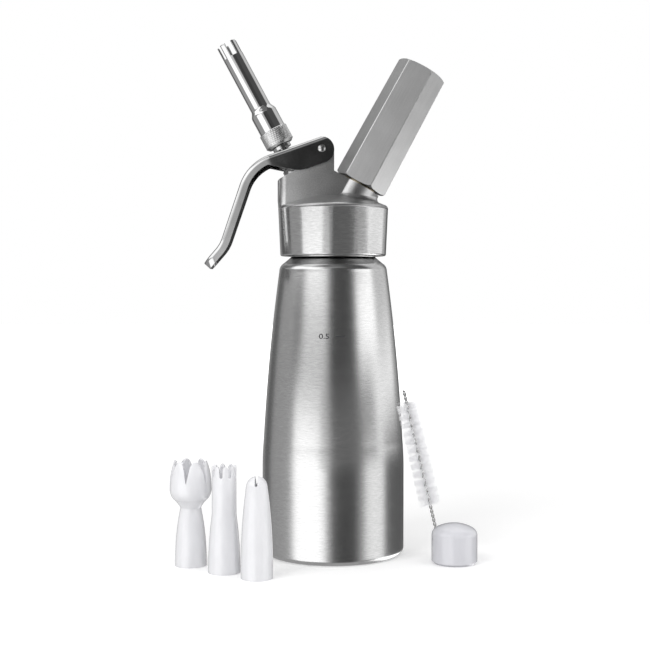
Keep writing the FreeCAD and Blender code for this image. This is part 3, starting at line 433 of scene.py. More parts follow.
def castAluminium(name, shade, sizes):
    # the head: grained by blasting above the collar, turned and brushed level on the collar
    finish = Finish(name, Metallic=1.0)
    x, y, level = finish.axes()
    low, high = sizes.collarTop
    onCollar = 1.0 - level.between(low * mm, high * mm)
    grain = finish.noise(finish.scaled(1.5), detail=3.0, roughness=0.7)
    cloud = finish.noise(finish.scaled(0.09), detail=3.0)
    lines = finish.noise(finish.scaled(0.3, 0.3, 2.6), detail=4.0, roughness=0.7)
    texture = grain * (1.0 - onCollar) + lines * onCollar
    tone = texture * 0.7 + cloud * 0.3 * (1.0 - onCollar) + 0.15 * onCollar
    finish.colour(tone, 0.3, 0.7, grey(shade * 0.84), grey(shade * 1.14))
    finish.set("Roughness", 0.3 - 0.12 * onCollar + 0.12 * (tone - 0.5))
    # the cast side is a little full: crown * ((x - middle) / reach) ** 2 is taken off to both ends,
    # and rise * (depth below the foot level / run) ** 2 is added where it runs out into the dome
    ends = (x - sizes.middle * mm) / (sizes.reach * mm)
    below = ((sizes.foot * mm - level) / (sizes.run * mm)).maths("MAXIMUM", 0.0)
    form = below * below * sizes.rise - ends * ends * sizes.crown
    finish.bump(form * (1.0 - onCollar) + texture * (0.012 - 0.011 * onCollar), 1.0)
    return finish.material


def satinAluminium(name, shade, rough, turn):
    # anodised aluminium, blasted fine, with faint lines along the piece from extrusion
    finish = Finish(name, Metallic=1.0)
    grain = finish.noise(finish.scaled(3.2), detail=2.0, roughness=0.6)
    drawn = finish.noise(finish.scaled(1.1, 1.1, 0.03, turn=turn))
    cloud = finish.noise(finish.scaled(0.07))
    tone = grain * 0.45 + drawn * 0.2 + cloud * 0.35
    finish.colour(tone, 0.3, 0.7, grey(shade * 0.9), grey(shade * 1.08))
    finish.set("Roughness", rough + 0.12 * (tone - 0.5))
    finish.bump(grain, 0.004)
    return finish.material


def polishedSteel(name, shade, rough, depth=0.0012, turn=0.0):
    # polished steel: hair lines from buffing and faint smears
    finish = Finish(name, Metallic=1.0)
    hair = finish.noise(finish.scaled(3.0, 3.0, 0.12, turn=turn), detail=3.0, roughness=0.6)
    smear = finish.noise(finish.scaled(0.12), detail=3.0)
    finish.colour(smear, 0.3, 0.7, grey(shade * 0.95), grey(shade * 1.04))
    finish.set("Roughness", rough + 0.09 * (smear - 0.45) + 0.05 * (hair - 0.5))
    finish.bump(hair, depth)
    return finish.material


def brass(name):
    # turned brass with fine rings and a few stains, coloured far darker than brass: painted shade for the
    # narrow gap under the holder where the stud shows
    finish = Finish(name, Metallic=1.0)
    lines = finish.noise(finish.scaled(0.3, 0.3, 12.0, turn=portAxis.lean()))
    stain = finish.noise(finish.scaled(0.3), detail=3.0)
    # both tones sit well below brass's own colour: painted shade, with the stains varying between them
    finish.colour(stain, 0.35, 0.7, (0.3, 0.26, 0.19), (0.38, 0.34, 0.26))
    finish.set("Roughness", 0.2 + 0.15 * lines)
    finish.bump(lines, 0.003)
    return finish.material


def plastic(name, colour, rough, coat):
    # moulded plastic: a trace of flow marks and a soft, slightly uneven gloss
    finish = Finish(name, Coat_Weight=coat, Coat_Roughness=0.12, Subsurface_Weight=0.12,
                    Subsurface_Radius=(0.003, 0.003, 0.003), Subsurface_Scale=1.0)
    ripple = finish.noise(finish.scaled(0.35, 0.35, 0.12))
    fine = finish.noise(finish.scaled(5.0), detail=1.0)
    darker = tuple(c * 0.97 for c in colour)
    finish.colour(ripple, 0.3, 0.7, darker, colour)
    finish.set("Roughness", rough + 0.08 * (ripple - 0.5))
    finish.bump(ripple * 0.8 + fine * 0.2, 0.0025)
    return finish.material


def rubber(name, colour, rough=0.6):
    # rubber or silicone with a light bloom
    finish = Finish(name, Specular_IOR_Level=0.35)
    bloom = finish.noise(finish.scaled(0.8), detail=4.0)
    fine = finish.noise(finish.scaled(9.0), detail=1.0)
    darker = tuple(c * 0.75 for c in colour)
    finish.colour(bloom, 0.35, 0.7, darker, colour)
    finish.set("Roughness", rough + 0.2 * (bloom - 0.5))
    finish.bump(fine, 0.01)
    return finish.material


# bottle

bottleSizes = {"radius": 39.2, "wall": 1.0, "foot": 3.3, "ring": 4.0, "lift": 1.6, "floor": 4.0,
               "straight": 47.0, "bend": (38.55, 62.5), "bendArc": 185, "taperArc": 1150,
               "shoulder": (29.75, 156.2), "waist": (27.4, 160.3), "waistArc": 4.9,
               "neck": 23.3, "neckFoot": 163.7, "lip": 180.2, "bore": 21.7,
               "pitch": 3.0, "ridge": 0.55, "threadFrom": 2.5, "threadTo": 1.2, "threadRows": 110}


def makeBottle():
    s = Sizes(bottleSizes)
    wall, step, inner = s.wall, s.radius - s.foot, s.radius - s.wall
    bend, shoulder, waist = s.bend, s.shoulder, s.waist
    shape = outline([
        (0, s.lift), (step - s.ring - s.lift, s.lift, 0.8), (step - s.ring, 0, 0.5),
        (step, 0),
        (s.radius, s.foot, 0, s.foot, 1), (s.radius, s.straight),
        (*bend, 0, s.bendArc, 1), (*shoulder, 0, s.taperArc, 1), (*waist, 0, s.waistArc, 1),
        (s.neck, s.neckFoot, 1.0), (s.neck, s.lip, 0.7), (s.bore, s.lip, 0.5),
        (s.bore, s.neckFoot - wall, 0.8), (waist[0] - wall, waist[1] - wall),
        (shoulder[0] - wall, shoulder[1], 0, s.waistArc, -1),
        (bend[0] - wall, bend[1], 0, s.taperArc, -1),
        (inner, s.straight, 0, s.bendArc, -1), (inner, s.floor + s.foot - wall),
        (step, s.floor, 0, s.foot - wall, -1), (0, s.floor)], closed=False)
    shape = spread(shape, 2.0)
    onNeck = (np.abs(shape[:, 0] - s.neck) < 0.1) & (shape[:, 1] > s.neckFoot)
    shape = banded(shape, onNeck, s.neck, s.threadRows)
    climb = thread(s.neck, s.pitch, s.ridge, s.neckFoot + s.threadFrom,
                   s.lip - s.threadTo)
    piece = turned("bottle_shell", upright, shape, 224, climb)
    steel = brushedSteel("brushed_bottle", 0.63, 0.22)
    placed(piece, "bottle", steel, "bottle")


def bottleRadius(level):
    # the outside of the taper between the bend and the shoulder
    s = Sizes(bottleSizes)
    arc = arcTo(s.bend, s.shoulder, s.taperArc, 1, 40)
    return np.interp(level, arc[:, 1], arc[:, 0])


markSizes = {"level": 121.2, "height": 4.7, "squat": 0.8, "weight": 0.05, "text": -5.0,
             "tick": (0.9, 5.9), "tickSteps": 8, "line": 0.5, "lift": 0.04}


def makeMark():
    # the fill mark: a number with a tick beside it, printed on the front of the taper
    m = Sizes(markSizes)
    curve = bpy.data.curves.new("fill_mark_text", "FONT")
    curve.body = "0.5"
    curve.size = m.height * mm
    curve.align_x = "CENTER"
    curve.align_y = "CENTER"
    curve.resolution_u = 8
    curve.offset = m.weight * mm
    words = newPiece("fill_mark_text", curve)
    bpy.context.view_layer.update()
    mesh = bpy.data.meshes.new_from_object(words)
    bpy.data.objects.remove(words)
    work = opened(mesh)
    for vert in work.verts:
        vert.co.x += m.text * mm
        vert.co.y *= m.squat
    low, high = -m.line / 2, m.line / 2
    bmesh.ops.triangulate(work, faces=work.faces)
    steps = np.linspace(*m.tick, m.tickSteps + 1)
    for start, end in zip(steps[:-1], steps[1:]):
        strip = ((start, low), (end, low), (end, high), (start, high))
        work.faces.new([work.verts.new((x * mm, y * mm, 0)) for x, y in strip])
    for vert in work.verts:
        level = m.level + vert.co.y / mm
        radius = bottleRadius(level) + m.lift
        angle = vert.co.x / mm / radius
        vert.co = (radius * math.sin(angle) * mm, -radius * math.cos(angle) * mm, level * mm)
    bmesh.ops.recalc_face_normals(work, faces=work.faces)
    work.to_mesh(mesh)
    work.free()
    piece = newPiece("fill_mark", mesh)
    ink = Finish("mark_ink", Specular_IOR_Level=0.3)
    worn = ink.noise(ink.scaled(1.5), detail=3.0)
    ink.colour(worn, 0.45, 0.7, (0.03, 0.03, 0.034), (0.06, 0.06, 0.065))
    ink.set("Roughness", 0.45 + 0.2 * worn)
    placed(piece, "bottle", ink.material)


makeBottle()
makeMark()
print("bottle made")


# head and lever

headSizes = {"collarTop": (190.0, 190.8), "foot": 202.0, "run": 14.0, "rise": 1.5, "middle": -5.0,
             "reach": 40.0, "crown": 3.0, "edge": 0.3}
leverEdge = 0.28


def makeHead():
    casting = dressed("head_casting", headSizes["edge"], 24)
    cast = castAluminium("cast_head", 0.6, Sizes(headSizes))
    placed(casting, "head", cast, "head_casting")


def makeLever():
    lever = dressed("lever", leverEdge, 32)
    steel = polishedSteel("polished_lever", 0.58, 0.1, turn=0.3)
    placed(lever, "lever", steel, "lever")


makeHead()
makeLever()
print("head and lever made")


# valve, nut and nozzle

adapterSizes = {"bore": 3.25, "foot": 14.23, "collar": 5.2, "collarHeight": 2.2, "thread": 4.3,
                "top": 21.23, "runIn": 0.6, "chamfer": 0.2, "pitch": 1.0, "ridge": 0.3}


def makeAdapter():
    s = Sizes(adapterSizes)
    shelf = s.foot + s.collarHeight
    shape = outline([
        (s.bore, s.foot), (s.collar, s.foot, 0.3), (s.collar, shelf, 0.3),
        (s.thread, shelf), (s.thread, shelf + s.runIn), (s.thread, s.top - s.chamfer),
        (s.thread - s.chamfer, s.top), (s.bore, s.top)])
    shape = spread(shape, 0.12)
    climb = thread(s.thread, s.pitch, s.ridge, shelf + s.runIn, s.top - s.chamfer, 0.3)
    piece = turned("stem_adapter_turned", valveAxis, shape, 96, climb)
    steel = polishedSteel("valve_polish", 0.5, 0.16, turn=-valveAxis.lean())
    placed(piece, "valve", steel, "stem_adapter")


nutSizes = {"foot": 16.53, "top": 26.03, "radius": 8.1, "bevel": 1.3, "bore": 5.1, "socket": 7.4,
            "socketDepth": 3.0, "lip": 22.03, "throat": 4.15, "rim": (0.3, 0.35), "around": 46,
            "pitch": 1.45, "depth": 0.17, "margin": 0.1, "fade": 0.15, "rows": 66, "columns": 540}


def makeNut():
    # diamond knurling: depth * min(t1, t2), where t is the distance from the nearest groove of
    # each of two crossed families, around * angle / 2pi +- level / pitch, as a triangle wave
    s = Sizes(nutSizes)
    shape = outline([
        (s.bore, s.foot), (s.radius - s.bevel, s.foot, 0.25),
        (s.radius, s.foot + s.bevel, 0.2), (s.radius, s.top - s.rim[1], 0.25),
        (s.radius - s.rim[0], s.top, 0.1), (s.socket, s.top, 0.1),
        (s.socket, s.top - s.socketDepth), (s.throat, s.top - s.socketDepth),
        (s.throat, s.lip), (s.bore, s.lip)])
    shape = spread(shape, 0.3)
    shape = banded(shape, np.abs(shape[:, 0] - s.radius) < 0.005, s.radius, s.rows)
    low, high = s.foot + s.bevel + s.margin, s.top - s.rim[1] - s.margin

    def relief(angle, level, radius):
        first = (s.around * angle / (2 * math.pi) + level / s.pitch) % 1.0
        second = (s.around * angle / (2 * math.pi) - level / s.pitch) % 1.0
        height = np.minimum(1 - np.abs(2 * first - 1), 1 - np.abs(2 * second - 1))
        band = share(level, low, low + s.fade) * share(level, high, high - s.fade)
        outside = (np.abs(radius - s.radius) < 0.02) * band
        return outside * s.depth * (height - 1.0)

    piece = turned("knurled_nut_turned", valveAxis, shape, s.columns, relief)
    finish = Finish("knurled_nut_satin", Metallic=1.0)
    soil = finish.noise(finish.scaled(0.9), detail=3.0)
    fine = finish.noise(finish.scaled(6), detail=1.0)
    finish.colour(soil, 0.3, 0.7, grey(0.62), grey(0.74))
    finish.set("Roughness", 0.14 + 0.06 * soil)
    finish.bump(fine, 0.0004)
    placed(piece, "nozzle", finish.material, "knurled_nut")


def atLevels(profile, levels):
    # the rows of a rising outline at the given levels
    return np.stack([np.interp(levels, profile[:, 1], profile[:, 0]), levels], -1)


nozzleSizes = {"foot": 23.03, "bell": 7.35, "neck": 36.03, "tube": 40.23, "radius": 5.75, "top": 79.64,
               "slotWidth": 3.8, "slotDepth": 7.8, "slotTurn": -79.0, "slots": 5, "wall": 0.8, "edge": 0.1}


def makeNozzle():
    # a drawn tube; its columns fall on the edges of the slots, whose quads are left out; its
    # shoulder is radius = tube + (bell - tube) * (1 + cos(pi * along)) / 2
    s = Sizes(nozzleSizes)
    along = np.linspace(0, 1, 25)
    shoulder = s.radius + (s.bell - s.radius) * (1 + np.cos(math.pi * along)) / 2
    rise = s.neck + (s.tube - s.neck) * along
    path = np.vstack([
        [(s.bell, s.foot)], np.stack([shoulder, rise], -1), [(s.radius, s.top)]])
    slotFoot = s.top - s.slotDepth
    levels = np.unique(np.concatenate([
        path[:, 1], np.arange(s.foot, s.neck, 1.3), np.arange(s.tube, slotFoot, 1.5),
        [slotFoot - 0.6], np.linspace(slotFoot, s.top, 9)]))
    profile = atLevels(path, levels)
    part = 360 / s.slots
    step = np.degrees(np.arcsin(s.slotWidth / 2 / s.radius))
    across, between = np.linspace(-step, step, 9)[:-1], np.linspace(step, part - step, 13)[:-1]
    each = s.slotTurn + part * np.arange(s.slots)[:, None]
    angle = np.radians(each + np.concatenate([across, between])).reshape(1, -1)
    grid = ringed(profile[:, :1], angle, profile[:, 1:] + 0 * angle)
    above = profile[:-1, 1] > slotFoot - 0.01
    inSlot = np.tile(np.arange(len(across) + len(between)) < len(across), s.slots)
    piece = gridPiece("nozzle_drawn", valveAxis.place(grid), keep=~(above[:, None] & inSlot[None]))
    piece = walled(piece, s.wall, s.edge)
    steel = polishedSteel("nozzle_polish", 0.66, 0.08, turn=-valveAxis.lean())
    placed(piece, "nozzle", steel, "nozzle")


makeAdapter()
makeNut()
makeNozzle()
print("nozzle made")


# charger port and holder

studSizes = {"bore": 1.95, "shank": 7.6, "sink": 7.0, "radius": 9.2, "chamfer": (0.6, 0.5), "top": 9.5,
             "bowl": 5.4, "bowlFloor": 1.5, "bowlLead": 0.3, "pitch": 1.5, "ridge": 0.5,
             "thread": (0.6, 8.8)}


def makeStud():
    s = Sizes(studSizes)
    inset, drop = s.chamfer
    shape = outline([
        (s.bore, -s.sink), (s.shank, -s.sink, 0.3), (s.shank, 0), (s.radius, 0),
        (s.radius, s.top - drop, 0.5), (s.radius - inset, s.top, 0.2),
        (s.bowl + s.bowlLead, s.top, 0.2), (s.bowl, s.top - s.bowlLead),
        (s.bowl, s.bowlFloor), (s.bore, s.bowlFloor)])
    shape = spread(shape, 0.2)
    climb = thread(s.radius, s.pitch, s.ridge, *s.thread, 0.5)
    piece = turned("port_stud_turned", portAxis, shape, 144, climb)
    placed(piece, "head", brass("brass_stud_painted_dark"), "port_stud")


holderSizes = {"low": 1.0, "top": 72.7, "corner": 15.2, "turn": -8.0, "taper": 0.7, "land": 0.17,
               "foot": 12.6, "footRise": 1.6, "footArc": 2.7, "crown": 11.4, "crownFall": 3.0,
               "crownArc": 3.75, "bore": 10.4, "boreRound": 5.2, "boreEnd": 67.5, "lead": 0.8}


def makeHolder():
    # the outside is min(hexagon, turned profile); the rows between the two ends of each facet
    # follow the curves where the hexagon leaves the turned ends
    s = Sizes(holderSizes)
    apothem = s.corner * math.cos(math.pi / 6)
    shrink = math.tan(math.radians(s.taper))
    flat = np.concatenate([[-1, -0.965], np.linspace(-0.9, 0.9, 15), [0.965, 1]])
    facet = np.arctan(np.tan(math.pi / 6) * flat)
    facet *= math.acos(apothem / (s.corner - s.land)) / (math.pi / 6)    # narrow lands between
    angle = (facet[None] + np.radians(s.turn + 30 + 60 * np.arange(6))[:, None]).ravel()
    within = np.tile(facet, 6)

    def hexagon(level):
        # the facets' distance from the axis at each column
        return (apothem - shrink * (level - s.low)) / np.cos(within)

    def rounded(first, last, radius):
        return np.vstack([[first], arcTo(first, last, radius, 1, 60)])

    foot = rounded((s.foot, s.low), (s.corner, s.low + s.footRise), s.footArc)
    top = rounded((s.corner, s.top - s.crownFall), (s.crown, s.top), s.crownArc)

    def crossing(arc):
        # how far along an arc the hexagon meets it, at each column
        over = arc[:, :1] - hexagon(arc[:, 1:])
        part = np.linspace(0, 1, len(arc))
        after = np.argmax(np.sign(over) != np.sign(over[:1]), axis=0)
        column = np.arange(over.shape[1])
        before = np.maximum(after - 1, 0)
        gapBefore, gapAfter = over[before, column], over[after, column]
        inside = gapBefore / np.where(gapBefore == gapAfter, 1, gapBefore - gapAfter)
        met = part[before] + inside * (part[after] - part[before])
        return np.where(over[0] * over[-1] < 0, met, 1.0)

    def along(arc, part):
        at, steps = part * (len(arc) - 1), np.arange(len(arc))
        return np.interp(at, steps, arc[:, 0]), np.interp(at, steps, arc[:, 1])

    footEnd = crossing(foot)
    topStart = crossing(top)
    rows = []

    def ring(radius, level):
        rows.append((radius + 0 * angle, level + 0 * angle))

    bore, end, lead = s.bore, s.boreEnd, s.lead
    inner = outline([
        (0, end), (bore - s.boreRound, end), (bore, end - s.boreRound, 0, s.boreRound, -1),
        (bore, s.low + lead, 0.2), (bore + lead, s.low, 0.2), (s.foot, s.low)], closed=False)
    for radius, level in spread(inner[:-1], 1.5):
        ring(radius, level)
    for part in np.linspace(0, 1, 9):
        rows.append(along(foot, footEnd * part))
    low, high = along(foot, footEnd)[1], along(top, topStart)[1]
    for part in np.concatenate([[0.004], np.linspace(0.02, 0.98, 30), [0.996]]):
        level = low + (high - low) * part
        rows.append((hexagon(level), level))
    for part in np.linspace(0, 1, 12):
        rows.append(along(top, topStart + (1 - topStart) * part))
    for part in (0.97, 0.7, 0.35, 0.0):
        ring(s.crown * part, s.top)
    radius, level = np.array([r[0] for r in rows]), np.array([r[1] for r in rows])
    piece = gridPiece("charger_holder_milled", portAxis.place(ringed(radius, angle, level)))
    piece.data.set_sharp_from_angle(angle=math.radians(24))
    satin = satinAluminium("satin_holder", 0.6, 0.36, -portAxis.lean())
    placed(piece, "holder", satin, "charger_holder")


makeStud()
makeHolder()
print("holder made")


# pieces beside the bottle

tulipSizes = {"foot": 8.35, "neck": (5.5, 30.8), "neckArc": 150, "flare": (9.25, 35.5), "flareArc": 16,
              "bulge": (11.0, 41.3), "bulgeArc": 8, "mouth": (8.4, 55.7), "mouthArc": 40,
              "notch": 11.2, "notchHalf": 1.75, "notchFoot": 0.45, "petals": 6, "turn": -97.0,
              "dip": 1.5, "crown": 0.25}
starSizes = {"foot": 8.4, "waist": (6.4, 30.0), "waistArc": 240, "mouth": (6.3, 55.4), "slot": 6.0,
             "slotHalf": 0.95, "teeth": 8, "turn": -100.7, "dip": 2.1, "ridge": 0.3, "inward": 0.25}
plainSizes = {"foot": 8.1, "shoulder": (5.4, 47.1), "sideArc": 300, "rise": 4.7, "slit": 4.5,
              "slitHalf": 0.75, "slitRound": 0.5, "slits": 4, "mouth": 1.07, "turn": -91.5}
tipWall, tipEdge = 1.3, 0.22


def mouldTip(node, profile, count, turn, half, perPart, shape=None):
    # a sheet that is split into equal parts by slots: within a part, c runs from -1 to 1 and
    # angle = middle + c * (pi / count - slot half angle), where the slot's half width at a
    # level, half(level), gives the half angle asin(half / radius)
    radius, level = profile[:, None, None, 0], profile[:, None, None, 1]
    middle = math.radians(turn) + (np.arange(count) + 0.5) * 2 * math.pi / count
    even = np.linspace(-1, 1, perPart + 1)
    c = 0.6 * np.sin(even * math.pi / 2) + 0.4 * even      # closer together towards the slots
    room = np.arcsin(np.clip(half(level) / np.maximum(radius, 0.001), 0, 1))
    angle = middle[None, :, None] + c * (math.pi / count - room)
    radius, level = radius + 0 * angle, level + 0 * angle
    if shape is not None:
        radius, level = shape(c + 0 * angle, level, radius)
    grid = ringed(radius, angle, level).reshape(len(profile), count * (perPart + 1), 3)
    keep = np.ones((grid.shape[0] - 1, grid.shape[1]), bool)
    keep[:, perPart::perPart + 1] = False
    piece = walled(gridPiece(node + "_moulded", standing(node).place(grid), keep), tipWall, tipEdge, 3)
    places = np.empty(len(piece.data.vertices) * 3)
    piece.data.vertices.foreach_get("co", places)
    places[2::3] = np.maximum(places[2::3], 0.0)     # the foot stands flat
    piece.data.vertices.foreach_set("co", places)
    placed(piece, node, tipPlastic, node, mirrored=False)


def parallelSlot(low, half, foot):
    # half the width of a parallel slot whose foot, at the level low, is round
    return lambda level: half * np.sqrt(1 - (1 - share(level, low, low + foot)) ** 2)


def makeTulip():
    s = Sizes(tulipSizes)
    foot = (s.foot, 0.0)
    path = np.vstack([
        [foot], arcTo(foot, s.neck, s.neckArc, 1, 24), arcTo(s.neck, s.flare, s.flareArc, -1, 14),
        arcTo(s.flare, s.bulge, s.bulgeArc, 1, 16), arcTo(s.bulge, s.mouth, s.mouthArc, 1, 24)])
    high = s.mouth[1]
    low = high - s.notch
    rise = low + 0.02 + s.notch * np.linspace(0, 1, 16) ** 1.7 * 0.998
    profile = atLevels(path, np.unique(np.concatenate([path[:, 1], rise])))

    def half(level):
        # the notch: a V with a narrow round foot
        t = share(level, low, high)
        return s.notchHalf * t + s.notchFoot * np.sqrt(t)

    def shape(c, level, radius):
        # the petals' tops fall at their sides, and their middles stand a little proud
        t = share(level, low, high)
        level = level - s.dip * t ** 6 * np.abs(c) ** 3
        return radius + s.crown * t * (1 - c ** 2), level

    mouldTip("tulip_tip", profile, s.petals, s.turn, half, 14, shape)


def makeStar():
    s = Sizes(starSizes)
    path = np.vstack([[(s.foot, 0.0)], arcTo((s.foot, 0), s.waist, s.waistArc, 1, 24), [s.mouth]])
    high = s.mouth[1]
    low = high - s.slot
    rise = low + 0.02 + s.slot * np.linspace(0, 1, 18) ** 1.3 * 0.998
    straight = np.linspace(s.waist[1], low, 14)
    profile = atLevels(path, np.unique(np.concatenate([path[:, 1], straight, rise])))

    def shape(c, level, radius):
        # teeth: round at the top and ridged down the middle
        t = share(level, low, high)
        level = level - s.dip * t ** 4 * (1 - np.sqrt(np.clip(1 - c ** 2, 0, 1)))
        return radius + s.ridge * t * (1 - np.abs(c)) - s.inward * t ** 3, level

    mouldTip("star_tip", profile, s.teeth, s.turn, parallelSlot(low, s.slotHalf, s.slotHalf), 12, shape)


def makePlain():
    s = Sizes(plainSizes)
    shoulder, shoulderLevel = s.shoulder
    ball = (shoulder ** 2 + s.rise ** 2) / (2 * s.rise)
    top = shoulderLevel + s.rise
    low = top - s.slit
    path = np.vstack([[(s.foot, 0.0)], arcTo((s.foot, 0), s.shoulder, s.sideArc, 1, 30)])
    # the domed top is a ball: radius = sqrt(ball ** 2 - (level - top + ball) ** 2)
    angle = np.linspace(math.asin(shoulder / ball), math.asin(s.mouth / ball), 26)
    levels = top - ball + ball * np.cos(angle)
    levels = np.unique(np.concatenate([levels[1:], low + np.array([-0.06, 0.02, 0.12, 0.25, 0.4])]))
    domed = np.stack([np.sqrt(ball ** 2 - (levels - top + ball) ** 2), levels], -1)
    profile = np.vstack([path, domed])
    mouldTip("plain_tip", profile, s.slits, s.turn, parallelSlot(low, s.slitHalf, s.slitRound), 22)


capSizes = {"radius": 12.2, "wall": 1.3, "side": 14.8, "corner": (9.76, 18.86), "cornerArc": 4.6,
            "top": 21.3, "crownArc": 20.8}


def makeCap():
    s = Sizes(capSizes)
    radius, wall = s.radius, s.wall
    corner, top = s.corner, s.top
    shape = outline([
        (radius, 0, 0.35), (radius, s.side), (*corner, 0, s.cornerArc, 1),
        (0, top, 0, s.crownArc, 1)], closed=False)
    inside = outline([
        (0, top - wall), (corner[0] - wall * 0.6, corner[1] - wall * 0.9, 0, s.crownArc - wall, -1),
        (radius - wall, s.side, 0, s.cornerArc - wall, -1), (radius - wall, 0)], closed=False)
    profile = spread(np.vstack([inside, shape]), 0.8)
    piece = turned("port_cap_moulded", standing("port_cap"), profile, 128)
    capPlastic = plastic("cap_grey", (0.73, 0.73, 0.77), 0.2, 0.5)
    placed(piece, "port_cap", capPlastic, "port_cap", mirrored=False)


tipPlastic = plastic("tip_white", (0.9, 0.9, 0.925), 0.2, 0.45)
makeTulip()
makeStar()
makePlain()
makeCap()
print("tips and cap made")


# brush

brushSizes = {"foot": (59.8, -8.0), "heel": 1.0, "lean": 15.2, "bearing": 28.3, "strand": 0.47,
              "twist": 5.0, "wire": (0.3, 94.4), "bristles": (29.3, 87.7), "root": 0.7, "reach": 6.15,
              "fan": 9.4, "count": 5200, "scatter": 0.62, "tilt": 0.1, "uneven": 0.1, "margin": 0.25,
              "thick": 0.055, "taper": ((0.0, 1.0), (0.96, 0.8), (1.0, 0.2))}


def brushLine():
    # the wire leans back to the bottle: (-sin l cos b, -sin l sin b, cos l), for lean l, bearing b
    b = Sizes(brushSizes)
    lean, bearing = math.radians(b.lean), math.radians(b.bearing)
    along = (-math.sin(lean) * math.cos(bearing), -math.sin(lean) * math.sin(bearing), math.cos(lean))
    return Axis((*b.foot, b.heel * math.sin(lean)), along)


brushAxis = brushLine()


def tube(centres, radius, sides=8):
    # a round tube: each point of the path plus radius * (first cos t + second sin t), where
    # first and second are square to the path
    ahead = np.gradient(centres, axis=0)
    ahead /= np.linalg.norm(ahead, axis=1, keepdims=True)
    aside = (0.31, 0.52, 0.79)       # any direction that the path never takes
    first = np.cross(ahead, aside)
    first /= np.linalg.norm(first, axis=1, keepdims=True)
    second = np.cross(ahead, first)
    turn = np.linspace(0, 2 * math.pi, sides, endpoint=False)[None, :, None]
    return centres[:, None] + radius * (first[:, None] * np.cos(turn) + second[:, None] * np.sin(turn))


def makeWire():
    b = Sizes(brushSizes)
    strands = []
    for start in (0, math.pi):
        # a strand winds round the axis: (r cos a, r sin a, s), a = 2pi s / twist + start
        s = np.linspace(*b.wire, 700)
        a = 2 * math.pi * s / b.twist + start
        path = np.stack([b.strand * np.cos(a), b.strand * np.sin(a), s], -1)
        grid = tube(path, b.strand - 0.01)
        foot, tip = (np.repeat(end, grid.shape[1], 1) for end in (path[:1, None], path[-1:, None]))
        strands.append(gridPiece("strand", brushAxis.place(np.vstack([foot, grid, tip]))))
    piece = joined("brush_wire_twisted", strands)
    steel = polishedSteel("wire_polish", 0.5, 0.2)
    placed(piece, "brush", steel, "brush_wire", mirrored=False)


def makeBristles():
    # bristles stand out of the twist on both sides: each starts at s on the wire and points along
    # a = 2pi s / fan (+ pi) plus its own scatter, and leans a little along the wire
    b = Sizes(brushSizes)
    rng = np.random.default_rng(7)
    count = b.count
    low, high = b.bristles
    s = low + (high - low) * (np.arange(count) + rng.random(count)) / count
    a = 2 * math.pi * s / b.fan + math.pi * (np.arange(count) % 2) + rng.normal(0, b.scatter, count)
    tilt = rng.normal(0, b.tilt, count)
    length = b.reach * (1 - b.uneven * rng.random(count) ** 2) - b.root
    out = np.stack([np.cos(a) * np.cos(tilt), np.sin(a) * np.cos(tilt), np.sin(tilt)], -1)
    across = np.stack([-np.sin(a), np.cos(a), 0 * a], -1)
    upward = np.cross(out, across)
    base = np.stack([0 * s, 0 * s, s], -1) + out * b.root
    turn = np.array([0, 2 * math.pi / 3, 4 * math.pi / 3])       # three-sided, to stay light
    rings = []
    for part, radius in b.taper:
        around = across[:, None] * np.cos(turn)[:, None] + upward[:, None] * np.sin(turn)[:, None]
        rings.append((base + out * (length * part)[:, None])[:, None] + b.thick * radius * around)
    grid = np.stack(rings, 1)
    grid[..., 2] = np.clip(grid[..., 2], low - b.margin, high + b.margin)
    index = np.arange(count * 9).reshape(count, 3, 3)
    beside = np.roll(index, -1, axis=2)
    quads = np.stack([index[:, :-1], beside[:, :-1], beside[:, 1:], index[:, 1:]], -1).reshape(-1, 4)
    mesh = bpy.data.meshes.new("brush_bristles_fibres")
    mesh.from_pydata(brushAxis.place(grid.reshape(-1, 3)) * mm, [], quads)
    mesh.update()
    piece = newPiece("brush_bristles_fibres", mesh)
    capEnds(piece)
    # the nylon also glows faintly in its own colour: painted light that lifts the shade falling between
    # the bristles
    nylon = Finish("nylon_white_painted_glow", Subsurface_Weight=0.3, Subsurface_Radius=(0.002, 0.002, 0.002),
                   Emission_Strength=0.2)
    tone = nylon.noise(nylon.scaled(0.9))
    shade = nylon.tint(tone.between(0.3, 0.7), (0.88, 0.88, 0.9), (0.95, 0.95, 0.96))
    nylon.set("Base Color", shade)
    nylon.set("Emission Color", shade)
    nylon.set("Roughness", 0.35 + 0.15 * tone)
    placed(piece, "brush", nylon.material, "brush_bristles", mirrored=False)


def capEnds(piece):
    # closes both ends of every bristle
    work = opened(piece.data)
    bmesh.ops.holes_fill(work, edges=[e for e in work.edges if e.is_boundary], sides=3)
    bmesh.ops.recalc_face_normals(work, faces=work.faces)
    stored(work, piece.data)


makeWire()
makeBristles()
print("brush made")


# small CAD pieces that show at the joints' limits

sealRubber = rubber("seal_black", (0.035, 0.035, 0.038))
sealSilicone = rubber("seal_pale", (0.62, 0.62, 0.6), 0.45)
linerPlastic = plastic("liner_white", (0.75, 0.75, 0.77), 0.3, 0.2)
valvePolish = bpy.data.materials["valve_polish"]
smallPieces = {     # by slot: the material, and the body that each piece rides on
    "valve_steel": (valvePolish, {"lever_pin": "head", "valve_gland": "head", "valve_stem": "valve",
                                  "press_collar": "valve", "piercing_pin": "head"}),
    "liner_plastic": (linerPlastic, {"charger_liner": "holder_slide"}),
    "seal_silicone": (sealSilicone, {"head_gasket": "head_slide"}),
    "seal_rubber": (sealRubber, {"stem_o_ring": "head", "valve_seat_gasket": "valve",
                                 "nozzle_washer": "nozzle_slide", "pin_seal": "head",
                                 "non_return_seal": "head"}),
}
for slot, (material, nodes) in smallPieces.items():
    for node, body in nodes.items():
        placed(dressed(node), body, material, node)
spring = frame["nodes"]["valve_spring"].data.materials
spring.clear()
